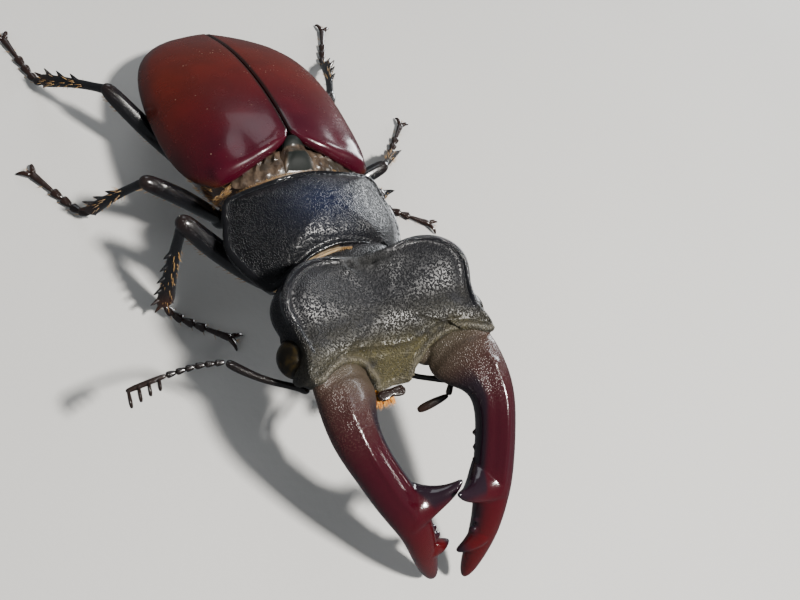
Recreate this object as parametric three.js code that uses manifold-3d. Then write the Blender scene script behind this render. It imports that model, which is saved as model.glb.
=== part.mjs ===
// Stag beetle, Lucanus cervus: a large male at life size, standing still.
// Millimetres, +Z up. The head faces -Y and the beetle's left side is +X.
// The origin is at the middle of the model's box, on the surface that it stands on.
//
// The body is laid out in its own frame: y = 0 where the prothorax meets the wing cases and
// z = 0 at the top of the wing cases. The whole body is then pitched up and lifted onto its legs.

import * as THREE from 'three';
import { mergeVertices } from 'three/addons/utils/BufferGeometryUtils.js';
import Module from 'manifold-3d';

const wasm = await Module();
wasm.setup();

// ------------------------------------------------------------------ driving dimensions

const GAP = 0.08; // clear space between neighbouring hard plates
const SUTURE_GAP = 0.06; // from the middle line to each wing case
const SHELL = 0.8; // thickness of a wing case
const STAND_HEIGHT = 15.5; // floor to the top of the wing cases
const BODY_PITCH = 9; // degrees, front end raised
const PROTHORAX_TURN = 4.3; // degrees towards the beetle's left
const PROTHORAX_PIVOT = [0, 0.5, -5];
const HEAD_PLACE = [1.2, -9.15, -2.3]; // head frame's origin, in the prothorax's frame
const HEAD_TURN = [18.3, -3.9, -0.9]; // degrees: nose down, tipped, turned
const HINGE = [6.6, -12, 0.4]; // where the left mandible hinges, in the head's frame
const MANDIBLE_SWING = { left: 0.2, right: -7.6 }; // degrees, minus is towards the middle
const MANDIBLE_LIFT = { left: -1.6, right: 0.5 }; // degrees, plus is tips down

// Wing cases: distance behind the joint, then the measure there.
const CASE_HALF_WIDTH = [[0.9, 7.9], [1.6, 8.8], [3.2, 9.6], [6, 10.2], [9, 10.5], [13, 10.7],
  [17.5, 10.5], [21.5, 9.6], [24.5, 7.9], [26.5, 5.6], [27.6, 3.1], [28.1, 0.9]];
const CASE_TOP = [[0.9, -1.9], [1.6, -0.8], [3.2, -0.1], [6, 0], [9, -0.2], [13, -0.8],
  [17.5, -1.9], [21.5, -3.3], [24.5, -4.7], [26.5, -5.7], [27.6, -6.3], [28.1, -6.6]];
const CASE_EDGE = [[0.9, -3.7], [1.6, -4.2], [3.2, -5.1], [6, -5.9], [9, -6.3], [13, -6.4],
  [17.5, -6.5], [21.5, -6.7], [24.5, -6.9], [26.5, -7.1], [27.6, -7.2], [28.1, -7.2]];
const CASE_SQUARENESS = 2; // 2 is an ellipse across, more is squarer
// How far the wing cases' front edge lies behind its row, round the arch from the middle to the side.
const CASE_FRONT = [[0, 3.1], [0.1, 1.75], [0.2, 1.1], [0.35, 0.55], [0.5, 0.15], [0.7, -0.1], [1, -0.1]];
const TRUNK_GAP = 0.35; // between the wing cases and the trunk under them
const BELLY_DEPTH = [[1, 6.7], [5, 5.7], [9.8, 5.2], [13, 4.7], [17, 4.1], [21, 3.2], [24, 2.4], [26, 1.5]];

// ------------------------------------------------------------------ finishes

const finish = (color, roughness) =>
  new THREE.MeshStandardMaterial({ color, roughness, metalness: 0 });
const HEAD_SHELL = finish(0x24242a, 0.55);
const BLACK_SHELL = finish(0x15151a, 0.35);
const WING_CASE = finish(0x4a1218, 0.3);
const MANDIBLE_SHELL = finish(0x4d1016, 0.3);
const BELLY = finish(0x1c1310, 0.5);
const EYE = finish(0x1a1208, 0.2);
const FEELER = finish(0x1b1210, 0.45);
const LEG_SHELL = finish(0x120f10, 0.35);
const BRUSH = finish(0xc4711c, 0.9);

// ------------------------------------------------------------------ making closed solids

const vector = (p) => new THREE.Vector3(...p);
const mix = THREE.MathUtils.lerp;

/** A smooth function through [place, measure] pairs. */
function profile(pairs) {
  const places = pairs.map((pair) => pair[0]);
  const measures = pairs.map((pair) => pair[1]);
  const curve = new THREE.CubicInterpolant(places, measures, 1);
  return (place) => curve.evaluate(place)[0];
}

/** A geometry from points and triangle corners, turned so that its faces point outwards. */
function solid(points, corners) {
  let volume = 0;
  const normal = new THREE.Vector3();
  for (let i = 0; i < corners.length; i += 3) {
    const [a, b, c] = [0, 1, 2].map((k) => points[corners[i + k]]);
    volume += a.dot(normal.crossVectors(b, c));
  }
  const geometry = new THREE.BufferGeometry().setFromPoints(points);
  geometry.setIndex(volume < 0 ? corners.toReversed() : corners);
  return geometry;
}

/** Equal rings of points joined into one closed solid, with a point over each end. */
function loft(rings, first = middle(rings[0]), last = middle(rings.at(-1))) {
  const sides = rings[0].length;
  const points = [...rings.flat(), first, last];
  const corners = [];
  for (let s = 0; s < sides; s++) {
    const t = (s + 1) % sides;
    const end = (rings.length - 1) * sides;
    corners.push(points.length - 2, t, s, points.length - 1, end + s, end + t);
    for (let r = 0; r < end; r += sides) {
      corners.push(r + s, r + t, r + t + sides, r + s, r + t + sides, r + s + sides);
    }
  }
  return solid(points, corners);
}

function middle(ring) {
  const sum = ring.reduce((total, point) => total.add(point), new THREE.Vector3());
  return sum.divideScalar(ring.length);
}

/** A plate between an outer and an inner grid of points, closed round its edge. */
function plate(outer, inner) {
  const loop = (grid) => [
    ...grid[0],
    ...grid.slice(1, -1).map((row) => row.at(-1)),
    ...grid.at(-1).toReversed(),
    ...grid.slice(1, -1).map((row) => row[0]).toReversed(),
  ];
  const columns = outer[0].length;
  const points = [...outer.flat(), ...inner.flat()];
  const under = outer.length * columns;
  const corners = [];
  for (let r = 0; r + 1 < outer.length; r++) {
    for (let c = 0; c + 1 < columns; c++) {
      const a = r * columns + c;
      const [b, d, e] = [a + 1, a + columns, a + columns + 1];
      corners.push(a, b, e, a, e, d, under + a, under + e, under + b, under + a, under + d, under + e);
    }
  }
  const rim = loop(outer).map((point) => points.indexOf(point));
  rim.forEach((a, k) => {
    const b = rim[(k + 1) % rim.length];
    corners.push(a, under + b, b, a, under + a, under + b);
  });
  return solid(points, corners);
}

const UPPER_SHARES = [0.4, 0.7, 0.9];
const LOWER_SHARES = [0.6];
const straightDown = (height, drop) => height - drop;

/**
 * A closed body round an edge line. The upper face climbs from the edge to the crown and the lower
 * face falls to the keel. Each step of the wall is [share of the edge's reach across, along, fall].
 */
function cushion({ edge, crown, keel, power, wall = [], fall = straightDown,
  upper = UPPER_SHARES, lower = LOWER_SHARES }) {
  const ring = (rim, centre, share, bend) => rim.map((p) => new THREE.Vector3(
    mix(centre.x, p.x, share), mix(centre.y, p.y, share), mix(centre.z, p.z, share ** bend)));
  const walls = wall.map(([across, along, amount]) => edge.map((p) => new THREE.Vector3(
    mix(crown.x, p.x, across), mix(crown.y, p.y, along), fall(p.z, amount))));
  const foot = walls.at(-1) ?? edge;
  const top = upper.map((share) => ring(edge, crown, share, power));
  const bottom = lower.map((share) => ring(foot, keel, share, power));
  return loft([...top, edge, ...walls, ...bottom], crown, keel);
}

/** A closed edge line, alike on both sides, from the points of its left half, rear to front. */
function edgeLine(half, sides) {
  const right = half.slice(1, -1).toReversed().map(([x, y, z]) => [-x, y, z]);
  const curve = new THREE.CatmullRomCurve3([...half, ...right].map(vector), true, 'centripetal');
  return curve.getPoints(sides).slice(0, -1);
}

/**
 * A limb along a curve. Each station is [share of the length, half width, half height, tilt]; the
 * height is measured towards `up`, the width across it, and the tilt turns both, in degrees.
 * `grown` makes it larger all round, for cutting its own clear space in a neighbour.
 */
function limb(places, stations, { up = [0, 0, 1], sides = 8, floor = -Infinity, grown = 0 } = {}) {
  const curve = new THREE.CatmullRomCurve3(places.map(vector), false, 'centripetal');
  const rings = stations.map(([share, halfWidth, halfHeight, tilt = 0], station) => {
    const along = curve.getTangentAt(share);
    const outward = station === 0 ? -grown : station === stations.length - 1 ? grown : 0;
    const centre = curve.getPointAt(share).addScaledVector(along, outward);
    const across = along.clone().cross(vector(up)).normalize();
    across.applyAxisAngle(along, THREE.MathUtils.degToRad(tilt));
    const height = across.clone().cross(along);
    return Array.from({ length: sides }, (_, k) => {
      const angle = (2 * Math.PI * (k + 0.5)) / sides;
      const point = centre.clone();
      point.addScaledVector(across, (halfWidth + grown) * Math.cos(angle));
      point.addScaledVector(height, (halfHeight + grown) * Math.sin(angle));
      point.z = Math.max(point.z, floor);
      return point;
    });
  });
  return loft(rings);
}

/** A blunt thorn from a base point to its tip. */
function thorn(base, tip, radius, up = [0, 0, 1]) {
  const stations = [[0, radius, radius], [1, 0.2, 0.2]];
  return limb([base, tip], stations, { up, sides: 4 });
}

function ellipsoid(centre, radii, sides = 10) {
  const bands = Math.round(sides * 0.65);
  return new THREE.SphereGeometry(1, sides, bands).scale(...radii).translate(...centre);
}

/** The same shape on the beetle's other side. */
function mirrored(geometry) {
  const copy = geometry.clone().scale(-1, 1, 1);
  copy.setIndex(Array.from(copy.index.array).reverse());
  return copy;
}

function manifold(geometry) {
  const bare = geometry.clone();
  bare.deleteAttribute('normal');
  bare.deleteAttribute('uv');
  const merged = mergeVertices(bare);
  return new wasm.Manifold(new wasm.Mesh({
    numProp: 3,
    vertProperties: Float32Array.from(merged.attributes.position.array),
    triVerts: Uint32Array.from(merged.index.array),
  }));
}

function fromManifold(shape) {
  const mesh = shape.getMesh();
  const geometry = new THREE.BufferGeometry();
  geometry.setAttribute('position', new THREE.BufferAttribute(mesh.vertProperties, 3));
  geometry.setIndex(Array.from(mesh.triVerts));
  return geometry;
}

const joined = (...shapes) => fromManifold(shapes.map(manifold).reduce((a, b) => a.add(b)));
const cut = (shape, ...tools) =>
  fromManifold(tools.map(manifold).reduce((a, b) => a.subtract(b), manifold(shape)));

// ------------------------------------------------------------------ the frames

const turned = (group, degrees) => {
  group.rotation.set(...degrees.map(THREE.MathUtils.degToRad));
  return group;
};

const beetle = new THREE.Group();
const body = turned(new THREE.Group(), [-BODY_PITCH, 0, 0]);
body.position.set(0, 0, STAND_HEIGHT);
const prothorax = turned(new THREE.Group(), [0, 0, PROTHORAX_TURN]);
prothorax.position.copy(vector(PROTHORAX_PIVOT)).sub(
  vector(PROTHORAX_PIVOT).applyEuler(prothorax.rotation));
const head = turned(new THREE.Group(), HEAD_TURN);
head.position.set(...HEAD_PLACE);
beetle.add(body);
body.add(prothorax);
prothorax.add(head);
beetle.updateMatrixWorld(true);

/** Adds a named piece to a frame. */
function add(frame, name, geometry, material) {
  geometry.computeVertexNormals();
  const mesh = new THREE.Mesh(geometry, material.clone());
  mesh.name = name;
  frame.add(mesh);
  return mesh;
}

const SIDES = [['left', 1], ['right', -1]];

// ------------------------------------------------------------------ wing cases and trunk

const caseHalfWidth = profile(CASE_HALF_WIDTH);
const caseTop = profile(CASE_TOP);
const caseEdge = profile(CASE_EDGE);
const caseFront = profile(CASE_FRONT);
const bellyDepth = profile(BELLY_DEPTH);
const CASE_ROWS = CASE_HALF_WIDTH.map((pair) => pair[0]);

/** A point of a wing case's arch; `turn` is 0 at the middle line and 1 at the side edge. */
function archPoint(y, turn, inset) {
  const angle = (turn * Math.PI) / 2;
  const bend = 2 / CASE_SQUARENESS;
  const reach = Math.max(caseHalfWidth(y) - inset, 0.3);
  const rise = Math.max(caseTop(y) - caseEdge(y) - inset, 0.1);
  return [reach * Math.sin(angle) ** bend, caseEdge(y) + rise * Math.cos(angle) ** bend];
}

function wingCase(side) {
  const COLUMNS = 7;
  const [front, rear] = [CASE_ROWS[0], CASE_ROWS.at(-1)];
  const grid = (inset) => CASE_ROWS.map((row) =>
    Array.from({ length: COLUMNS }, (_, column) => {
      const turn = (column / (COLUMNS - 1)) ** 1.2;
      const y = row + (caseFront(turn) * (rear - row)) / (rear - front);
      const [x, z] = archPoint(y, turn, inset);
      return new THREE.Vector3(side * (SUTURE_GAP + x), y, z);
    }));
  return plate(grid(0), grid(SHELL));
}

/** A length of the trunk under the wing cases, through rows at distances behind the joint. */
function trunk(rows, tail, grown = 0) {
  const TRUNK_SIDES = 16;
  const inset = SHELL + TRUNK_GAP - grown;
  const rings = rows.map((y) => Array.from({ length: TRUNK_SIDES }, (_, k) => {
    const angle = (2 * Math.PI * k) / TRUNK_SIDES;
    if (angle <= Math.PI) {
      const [x, z] = archPoint(y, Math.abs(1 - (2 * angle) / Math.PI), inset);
      return new THREE.Vector3(x * Math.sign(Math.cos(angle)), y, z);
    }
    const [halfWidth] = archPoint(y, 1, inset);
    const depth = bellyDepth(y) + grown;
    return new THREE.Vector3(halfWidth * Math.cos(angle), y, caseEdge(y) + depth * Math.sin(angle));
  }));
  return loft(rings, undefined, tail);
}

const trunkBody = (grown) => trunk([0.9, 2.6, 5, 7.6, 10, 13, 17], undefined, grown);

for (const [name, side] of SIDES) {
  add(body, `elytron_${name}`, wingCase(side), WING_CASE);
}
add(body, 'metathorax', trunk([1, 2.6, 5, 7.6, 9.8]), BELLY);
add(body, 'abdomen', trunk([9.9, 13, 17, 21, 24, 26], new THREE.Vector3(0, 27.4, -7.7)), BELLY);
add(body, 'mesothorax', limb([[0, -0.05, -7], [0, 0.9, -7]], [[0, 5.2, 3.7], [0.4, 5.9, 4.1], [1, 6, 4.2]],
  { sides: 14 }), BELLY);

const scutellum = cushion({
  edge: edgeLine([[0, 3.7, -0.25], [0.8, 2.9, -0.45], [1.3, 2.2, -0.8], [2.1, 0.9, -2], [2.1, -0.1, -2.3],
    [0, -0.3, -2.1]], 12),
  crown: new THREE.Vector3(0, 1.7, -0.4),
  keel: new THREE.Vector3(0, 1.7, -1.3),
  power: 2,
  wall: [[1, 1, 0.4]],
  upper: [0.4, 0.75],
  lower: [0.5],
});
add(body, 'scutellum', scutellum, BLACK_SHELL);

// ------------------------------------------------------------------ prothorax

function pronotumPlate(extra = 0) {
  return cushion({
    edge: edgeLine([[0, -0.55, -1.35], [3.6, -0.6, -1.9], [6.6, -0.75, -2.8], [7.7, -1.2, -3.2],
      [8.7, -3.2, -4.4], [9.2, -4.9, -5], [8.6, -7.2, -5.3], [7.6, -9, -5.5], [6.9, -10, -5.6],
      [5.6, -9.7, -4.7], [3.2, -8.9, -3.2], [0, -8.6, -2.4]], 28),
    crown: new THREE.Vector3(0, -4.6, -0.45),
    keel: new THREE.Vector3(0, -4.6, -2.4 - extra),
    power: 2.3,
    wall: [[1.005, 1.005, 0.4 + extra], [0.95, 0.95, 1 + extra]],
  });
}

/** The head's neck, which plugs into the prothorax; a grown one cuts its hole. */
const neck = (grown = 0) => limb([[0, -3, -2.4], [0, 0.5, -3.3], [0, 3.8, -4.3]],
  [[0, 5, 3], [0.4, 4.8, 2.5], [0.8, 4.5, 2.1], [1, 3.6, 1.5]], { sides: 12, grown });

const neckHole = neck(GAP * 2).applyMatrix4(head.matrix);
const CHEST_CENTRE = -4.85;
const CHEST_REACH = [7.9, 4.05];

/** The underside of the prothorax, as a deep cushion below the pronotum. */
function chestBody(grown = 0) {
  const SIDES_ROUND = 16;
  const edge = Array.from({ length: SIDES_ROUND }, (_, k) => {
    const angle = (2 * Math.PI * k) / SIDES_ROUND;
    const [across, along] = CHEST_REACH;
    return new THREE.Vector3((across + grown) * Math.cos(angle),
      CHEST_CENTRE + (along + grown) * Math.sin(angle), -6.6);
  });
  return cushion({
    edge,
    crown: new THREE.Vector3(0, CHEST_CENTRE, -2.5),
    keel: new THREE.Vector3(0, CHEST_CENTRE, -10.9 - grown),
    power: 1.6,
  });
}

add(prothorax, 'pronotum', cut(pronotumPlate(), neckHole), BLACK_SHELL);
add(prothorax, 'prosternum', cut(chestBody(), pronotumPlate(GAP), neckHole), BLACK_SHELL);

// ------------------------------------------------------------------ mandibles

/** The left mandible about its hinge: a broad root, a curved shaft, a middle tooth and a forked tip. */
function mandibleShaft(grown = 0) {
  const path = [[-0.9, 2.2, -0.4], [-0.75, 0, 0.3], [0.37, -2.7, 1], [0.75, -5, 1.05], [0.35, -6.8, 0.5],
    [-0.05, -8.3, 0.1], [-0.7, -10.2, -0.7], [-1.35, -12, -1.3], [-2, -14, -2.3], [-2.5, -16, -4.1],
    [-3.15, -17.8, -6.4], [-4, -19.7, -8.7]];
  const stations = [[0, 1.3, 0.7, 10], [0.045, 2.3, 1.15, 22], [0.09, 3.55, 1.5, 25], [0.15, 3.1, 1.65, 22],
    [0.21, 2.55, 1.75, 15], [0.29, 2.1, 1.7], [0.4, 1.85, 1.6], [0.5, 1.95, 1.5], [0.6, 1.85, 1.45],
    [0.68, 1.6, 1.3], [0.78, 1.4, 1.15], [0.89, 1.1, 0.95], [0.96, 0.75, 0.7], [1, 0.25, 0.25]];
  return limb(path, stations, { sides: 9, grown });
}

function mandible() {
  const tooth = limb([[-0.9, -11.7, -1.4], [-3.4, -12.3, -0.9], [-5.3, -12.4, 0.2], [-6.45, -12, 0.9]],
    [[0, 1.9, 1.35], [0.3, 1.5, 1.1], [0.6, 0.9, 0.8], [0.85, 0.5, 0.45], [1, 0.16, 0.16]],
    { sides: 6 });
  const prong = limb([[-2.7, -16.1, -4], [-4.2, -16.8, -4.7], [-5.5, -16.9, -5.2]],
    [[0, 1.1, 0.9], [0.5, 0.85, 0.75], [0.85, 0.45, 0.45], [1, 0.16, 0.16]], { sides: 5 });
  const denticles = [[-3.4, -13.9, -2.2], [-3.75, -14.8, -2.9], [-4.1, -15.6, -3.6]].map(
    ([x, y, z]) => thorn([x + 0.7, y + 0.1, z], [x - 0.35, y - 0.05, z + 0.1], 0.42));
  return joined(mandibleShaft(), tooth, prong, ...denticles);
}

/** Puts a left mandible shape on a side, swung about its hinge, in the head's frame. */
function hinged(geometry, name, side) {
  const hinge = turned(new THREE.Group(), [MANDIBLE_LIFT[name], 0, MANDIBLE_SWING[name]]);
  hinge.position.set(...HINGE);
  hinge.updateMatrix();
  const placed = geometry.clone().applyMatrix4(hinge.matrix);
  return side > 0 ? placed : mirrored(placed);
}

const leftMandible = mandible();
for (const [name, side] of SIDES) {
  add(head, `mandible_${name}`, hinged(leftMandible, name, side), MANDIBLE_SHELL);
}

// ------------------------------------------------------------------ head

const EYE_PLACE = [8.7, -8.7, 0];
const EYE_RADII = [1.85, 1.85, 1.65];
const eyeball = (grown = 0) => ellipsoid(EYE_PLACE, EYE_RADII.map((radius) => radius + grown), 9);
const onSide = (geometry, side) => (side > 0 ? geometry : mirrored(geometry));

const HEAD_KEEL = -5;
const skull = cushion({
  edge: edgeLine([[0, -1.5, 1.3], [2.7, -1.35, 2.2], [5.2, -1, 2.25], [7.5, -1.7, 2.7], [9.2, -3.6, 2.95],
    [9.4, -5.2, 2.7], [8.9, -7.1, 2.4], [8.55, -9.1, 2.6], [9.35, -11.4, 3], [8.5, -11.6, 2.7],
    [7.2, -10.8, 2.1], [5.3, -10.3, 1.6], [3.2, -10.8, 0.6], [2.3, -12.1, -1.1], [1.75, -13.4, -2.4],
    [0, -13.3, -2.4]], 32),
  crown: new THREE.Vector3(0, -6.8, 2.2),
  keel: new THREE.Vector3(0, -6.8, HEAD_KEEL),
  power: 2,
  wall: [[1, 1, 0.13], [1.06, 0.9, 0.45]],
  fall: (height, share) => mix(height, HEAD_KEEL, share),
});
const sockets = SIDES.flatMap(([name, side]) => [
  hinged(mandibleShaft(GAP), name, side),
  onSide(eyeball(GAP), side),
]);
add(head, 'head', cut(joined(skull, neck()), ...sockets), HEAD_SHELL);
for (const [name, side] of SIDES) {
  add(head, `eye_${name}`, onSide(eyeball(), side), EYE);
}

const labrum = cushion({
  edge: edgeLine([[0, -13.5, -3.15], [1.3, -13.5, -3.15], [1.5, -13.9, -3.1], [1.1, -14.3, -3.05],
    [0, -14.1, -3.1]], 10),
  crown: new THREE.Vector3(0, -13.85, -2.95),
  keel: new THREE.Vector3(0, -13.85, -3.5),
  power: 2,
  wall: [[1, 1, 0.3]],
  upper: [0.6],
  lower: [0.5],
});
add(head, 'labrum', labrum, HEAD_SHELL);
add(head, 'mouth_brush', limb([[-0.5, -13.1, -4.1], [-0.8, -14, -4.15], [-1.1, -14.9, -4.15]],
  [[0, 0.8, 0.3], [0.3, 1.1, 0.4], [0.8, 1, 0.36], [1, 0.5, 0.25]], { sides: 6 }), BRUSH);

// ------------------------------------------------------------------ feelers

const PALP_PLACES = {
  left: [[2.3, -12.7, -3.3], [3.6, -13.5, -2.6], [5.7, -14.5, -1.9], [4.95, -15.7, -2.2], [1.95, -16.05, -3.4]],
  right: [[-2.3, -12.7, -3.4], [-3.6, -13.6, -3.1], [-5.2, -14.3, -3.2], [-6, -15.3, -3.5], [-6.2, -18.2, -4]],
};
const rod = (radius) => [[0, radius, radius], [1, radius, radius]];
const clubbed = (thin, thick) => [[0, thin, thin], [0.3, thick * 0.9, thick * 0.9], [0.7, thick, thick],
  [0.93, thick * 0.8, thick * 0.8], [1, thick * 0.4, thick * 0.4]];

/** A jaw feeler: a long joint, a short one and a thick last joint. */
function palp([root, bow, knee, bend, tip]) {
  return joined(limb([root, bow, knee], [[0, 0.28, 0.28], [0.5, 0.26, 0.26], [1, 0.32, 0.32]], { sides: 5 }),
    limb([knee, bend], rod(0.3), { sides: 5 }), limb([bend, tip], clubbed(0.28, 0.42), { sides: 6 }));
}

const ANTENNA_PLACES = {
  left: {
    scape: [[8.1, -11.5, -1.3], [8.9, -10.2, -2.8], [8.9, -7.4, -4.3], [7.8, -4.9, -5.4]],
    funicle: [[7.55, -5.1, -5.75], [6.3, -6.9, -6.5], [5.2, -9, -6.9]],
    club: [[5.1, -9.2, -6.92], [4.6, -10.8, -7], [4.2, -12.6, -7]],
    lamellae: [-0.8, -0.1, -0.5],
  },
  right: {
    scape: [[-8.1, -11.5, -1.6], [-9.5, -10.5, -1.65], [-11.6, -9.4, -1.8], [-14.05, -7.05, -1.88]],
    funicle: [[-14.35, -6.95, -1.9], [-16.4, -6.6, -2.3], [-18.7, -6.6, -2.65]],
    club: [[-18.95, -6.6, -2.68], [-20.6, -6.7, -2.9], [-22.2, -6.9, -3.15]],
    lamellae: [0.1, -1, -0.1],
  },
};

/** The club: a thin stem with flat leaves on one side, longer towards the tip. */
function antennaClub(places, lean) {
  const stem = new THREE.CatmullRomCurve3(places.map(vector));
  const leaves = [0.2, 0.44, 0.68, 0.92].map((share, k) => {
    const root = stem.getPointAt(share);
    const tip = root.clone().addScaledVector(vector(lean).normalize(), 1 + 0.12 * k);
    const along = stem.getTangentAt(share).toArray();
    return limb([root.toArray(), tip.toArray()], [[0, 0.3, 0.26], [0.6, 0.42, 0.26], [1, 0.22, 0.25]],
      { up: along, sides: 4 });
  });
  return joined(limb(places, [[0, 0.27, 0.27], [0.5, 0.3, 0.3], [1, 0.27, 0.27]], { sides: 5 }), ...leaves);
}

for (const [name] of SIDES) {
  const places = ANTENNA_PLACES[name];
  add(head, `maxillary_palp_${name}`, palp(PALP_PLACES[name]), FEELER);
  add(head, `antenna_scape_${name}`, limb(places.scape, [[0, 0.3, 0.3], [0.15, 0.36, 0.36],
    [0.6, 0.3, 0.3], [0.9, 0.42, 0.42], [1, 0.28, 0.28]], { sides: 6 }), FEELER);
  const beads = [0, 0.16, 0.2, 0.36, 0.4, 0.56, 0.6, 0.76, 0.8, 1];
  add(head, `antenna_funicle_${name}`, limb(places.funicle, beads.map((share, k) => {
    const radius = k % 2 ? 0.32 : 0.25;
    return [share, radius, radius];
  }), { sides: 5 }), FEELER);
  add(head, `antenna_club_${name}`, antennaClub(places.club, places.lamellae), FEELER);
}

// ------------------------------------------------------------------ legs

// Hips are in the frame of the ring of the body that carries them; the rest is in the world:
// where the knee is, where the shin ends, and the foot's reach from there along the floor.
const LEGS = [
  { name: 'fore_left', carrier: prothorax, hip: [3.2, -6.3, -11.1], knee: [10.7, -0.3, 9.5],
    ankle: [15.2, 3.5, 2], foot: [7, -4.2], girth: 1, bow: -0.4 },
  { name: 'fore_right', carrier: prothorax, hip: [-3.2, -6.3, -11.1], knee: [-12.2, -2.7, 12],
    ankle: [-12.85, -6.05, 2.1], foot: [6.4, -4.6], girth: 1, bow: -0.7 },
  { name: 'mid_left', carrier: body, hip: [5, 3.2, -11.4], knee: [14.2, 4.25, 7.5],
    ankle: [19.4, 9.4, 2], foot: [5, 6.4], girth: 0.85, bow: 0.5 },
  { name: 'mid_right', carrier: body, hip: [-5, 3.2, -11.4], knee: [-13.8, 3.1, 10],
    ankle: [-17.3, 5.5, 2], foot: [-4.6, 6.8], girth: 0.85, bow: 0.5 },
  { name: 'hind_left', carrier: body, hip: [5.5, 10, -11.6], knee: [12.5, 16.5, 5.5],
    ankle: [15.8, 24.4, 1.9], foot: [3, 8.2], girth: 0.9, bow: -0.3 },
  { name: 'hind_right', carrier: body, hip: [-5.5, 10, -11.6], knee: [-13.9, 16.7, 7.5],
    ankle: [-18.4, 22.4, 2], foot: [-2.8, 8.2], girth: 0.9, bow: -0.3 },
];
const FOOT_HEIGHT = 0.46; // middle of the foot above the floor
const FOOT_JOINTS = 4; // short joints before the long claw joint

/** The foot: beaded joints flat along the floor, with two hooked claws. */
function foot(ankle, [reachX, reachY], grown = 0) {
  const at = (share, height) => [ankle.x + reachX * share, ankle.y + reachY * share, height];
  const path = [at(0, ankle.z - 0.35), at(0.08, ankle.z * 0.55), at(0.2, FOOT_HEIGHT + 0.1),
    at(0.4, FOOT_HEIGHT), at(0.7, FOOT_HEIGHT), at(0.9, FOOT_HEIGHT)];
  const beads = Array.from({ length: FOOT_JOINTS }, (_, k) => 0.16 * k).flatMap((share) => [
    [share, 0.3, 0.3], [share + 0.11, 0.52, 0.5]]);
  const stations = [...beads, [0.66, 0.32, 0.32], [0.9, 0.42, 0.44], [1, 0.3, 0.32]];
  if (grown) return limb(path, stations, { sides: 5, grown });
  const heading = new THREE.Vector3(reachX, reachY, 0).normalize();
  const claws = [-1, 1].map((side) => {
    const across = new THREE.Vector3(-heading.y, heading.x, 0).multiplyScalar(side);
    const root = vector(at(0.88, FOOT_HEIGHT + 0.05));
    const place = (forward, out, height) =>
      root.clone().addScaledVector(heading, forward).addScaledVector(across, out).setZ(height).toArray();
    return limb([place(0, 0.15, 0.5), place(0.6, 0.6, 0.66), place(1.15, 0.95, 0.22)],
      [[0, 0.3, 0.3], [0.5, 0.27, 0.27], [1, 0.16, 0.16]], { sides: 4, floor: 0 });
  });
  return joined(limb(path, stations, { sides: 5, floor: 0 }), ...claws);
}

/** The shin: slender, with thorns down its outer edge and two spurs at its end. */
function shin(knee, ankle, { broad, girth, thorns }, grown = 0) {
  const outward = new THREE.Vector3(ankle.x, ankle.y, 0).normalize();
  const along = ankle.clone().sub(knee).normalize();
  const edge = outward.addScaledVector(along, -outward.dot(along)).normalize();
  const up = along.clone().cross(edge).toArray();
  const path = [knee.toArray(), knee.clone().lerp(ankle, 0.5).addScaledVector(edge, 0.25).toArray(),
    ankle.toArray()];
  const stations = [[0, 0.42, 0.42], [0.1, 0.55, 0.5], [0.5, 0.62 * broad, 0.55], [0.85, 0.8 * broad, 0.6],
    [0.96, 0.95 * broad, 0.62], [1, 0.7 * broad, 0.5]].map(([share, width, height]) => [share,
    width * girth, height * girth]);
  const trunkOfShin = limb(path, stations, { up, sides: 6, grown });
  if (grown) return trunkOfShin;
  const shinThorns = thorns.map((share) => {
    const root = knee.clone().lerp(ankle, share).addScaledVector(edge, 0.25);
    const tip = root.clone().addScaledVector(edge, 1.15 * broad).addScaledVector(along, 0.5);
    return thorn(root.toArray(), tip.toArray(), 0.34, up);
  });
  const spurs = [-1, 1].map((side) => {
    const root = ankle.clone().addScaledVector(along, -0.5).addScaledVector(edge, side * 0.3);
    const tip = ankle.clone().addScaledVector(along, 0.5).addScaledVector(edge, side * 1.1 * broad);
    return thorn(root.toArray(), tip.toArray(), 0.3, up);
  });
  return joined(trunkOfShin, ...shinThorns, ...spurs);
}

const toCarrier = (geometry, carrier) => geometry.applyMatrix4(carrier.matrixWorld.clone().invert());

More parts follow.
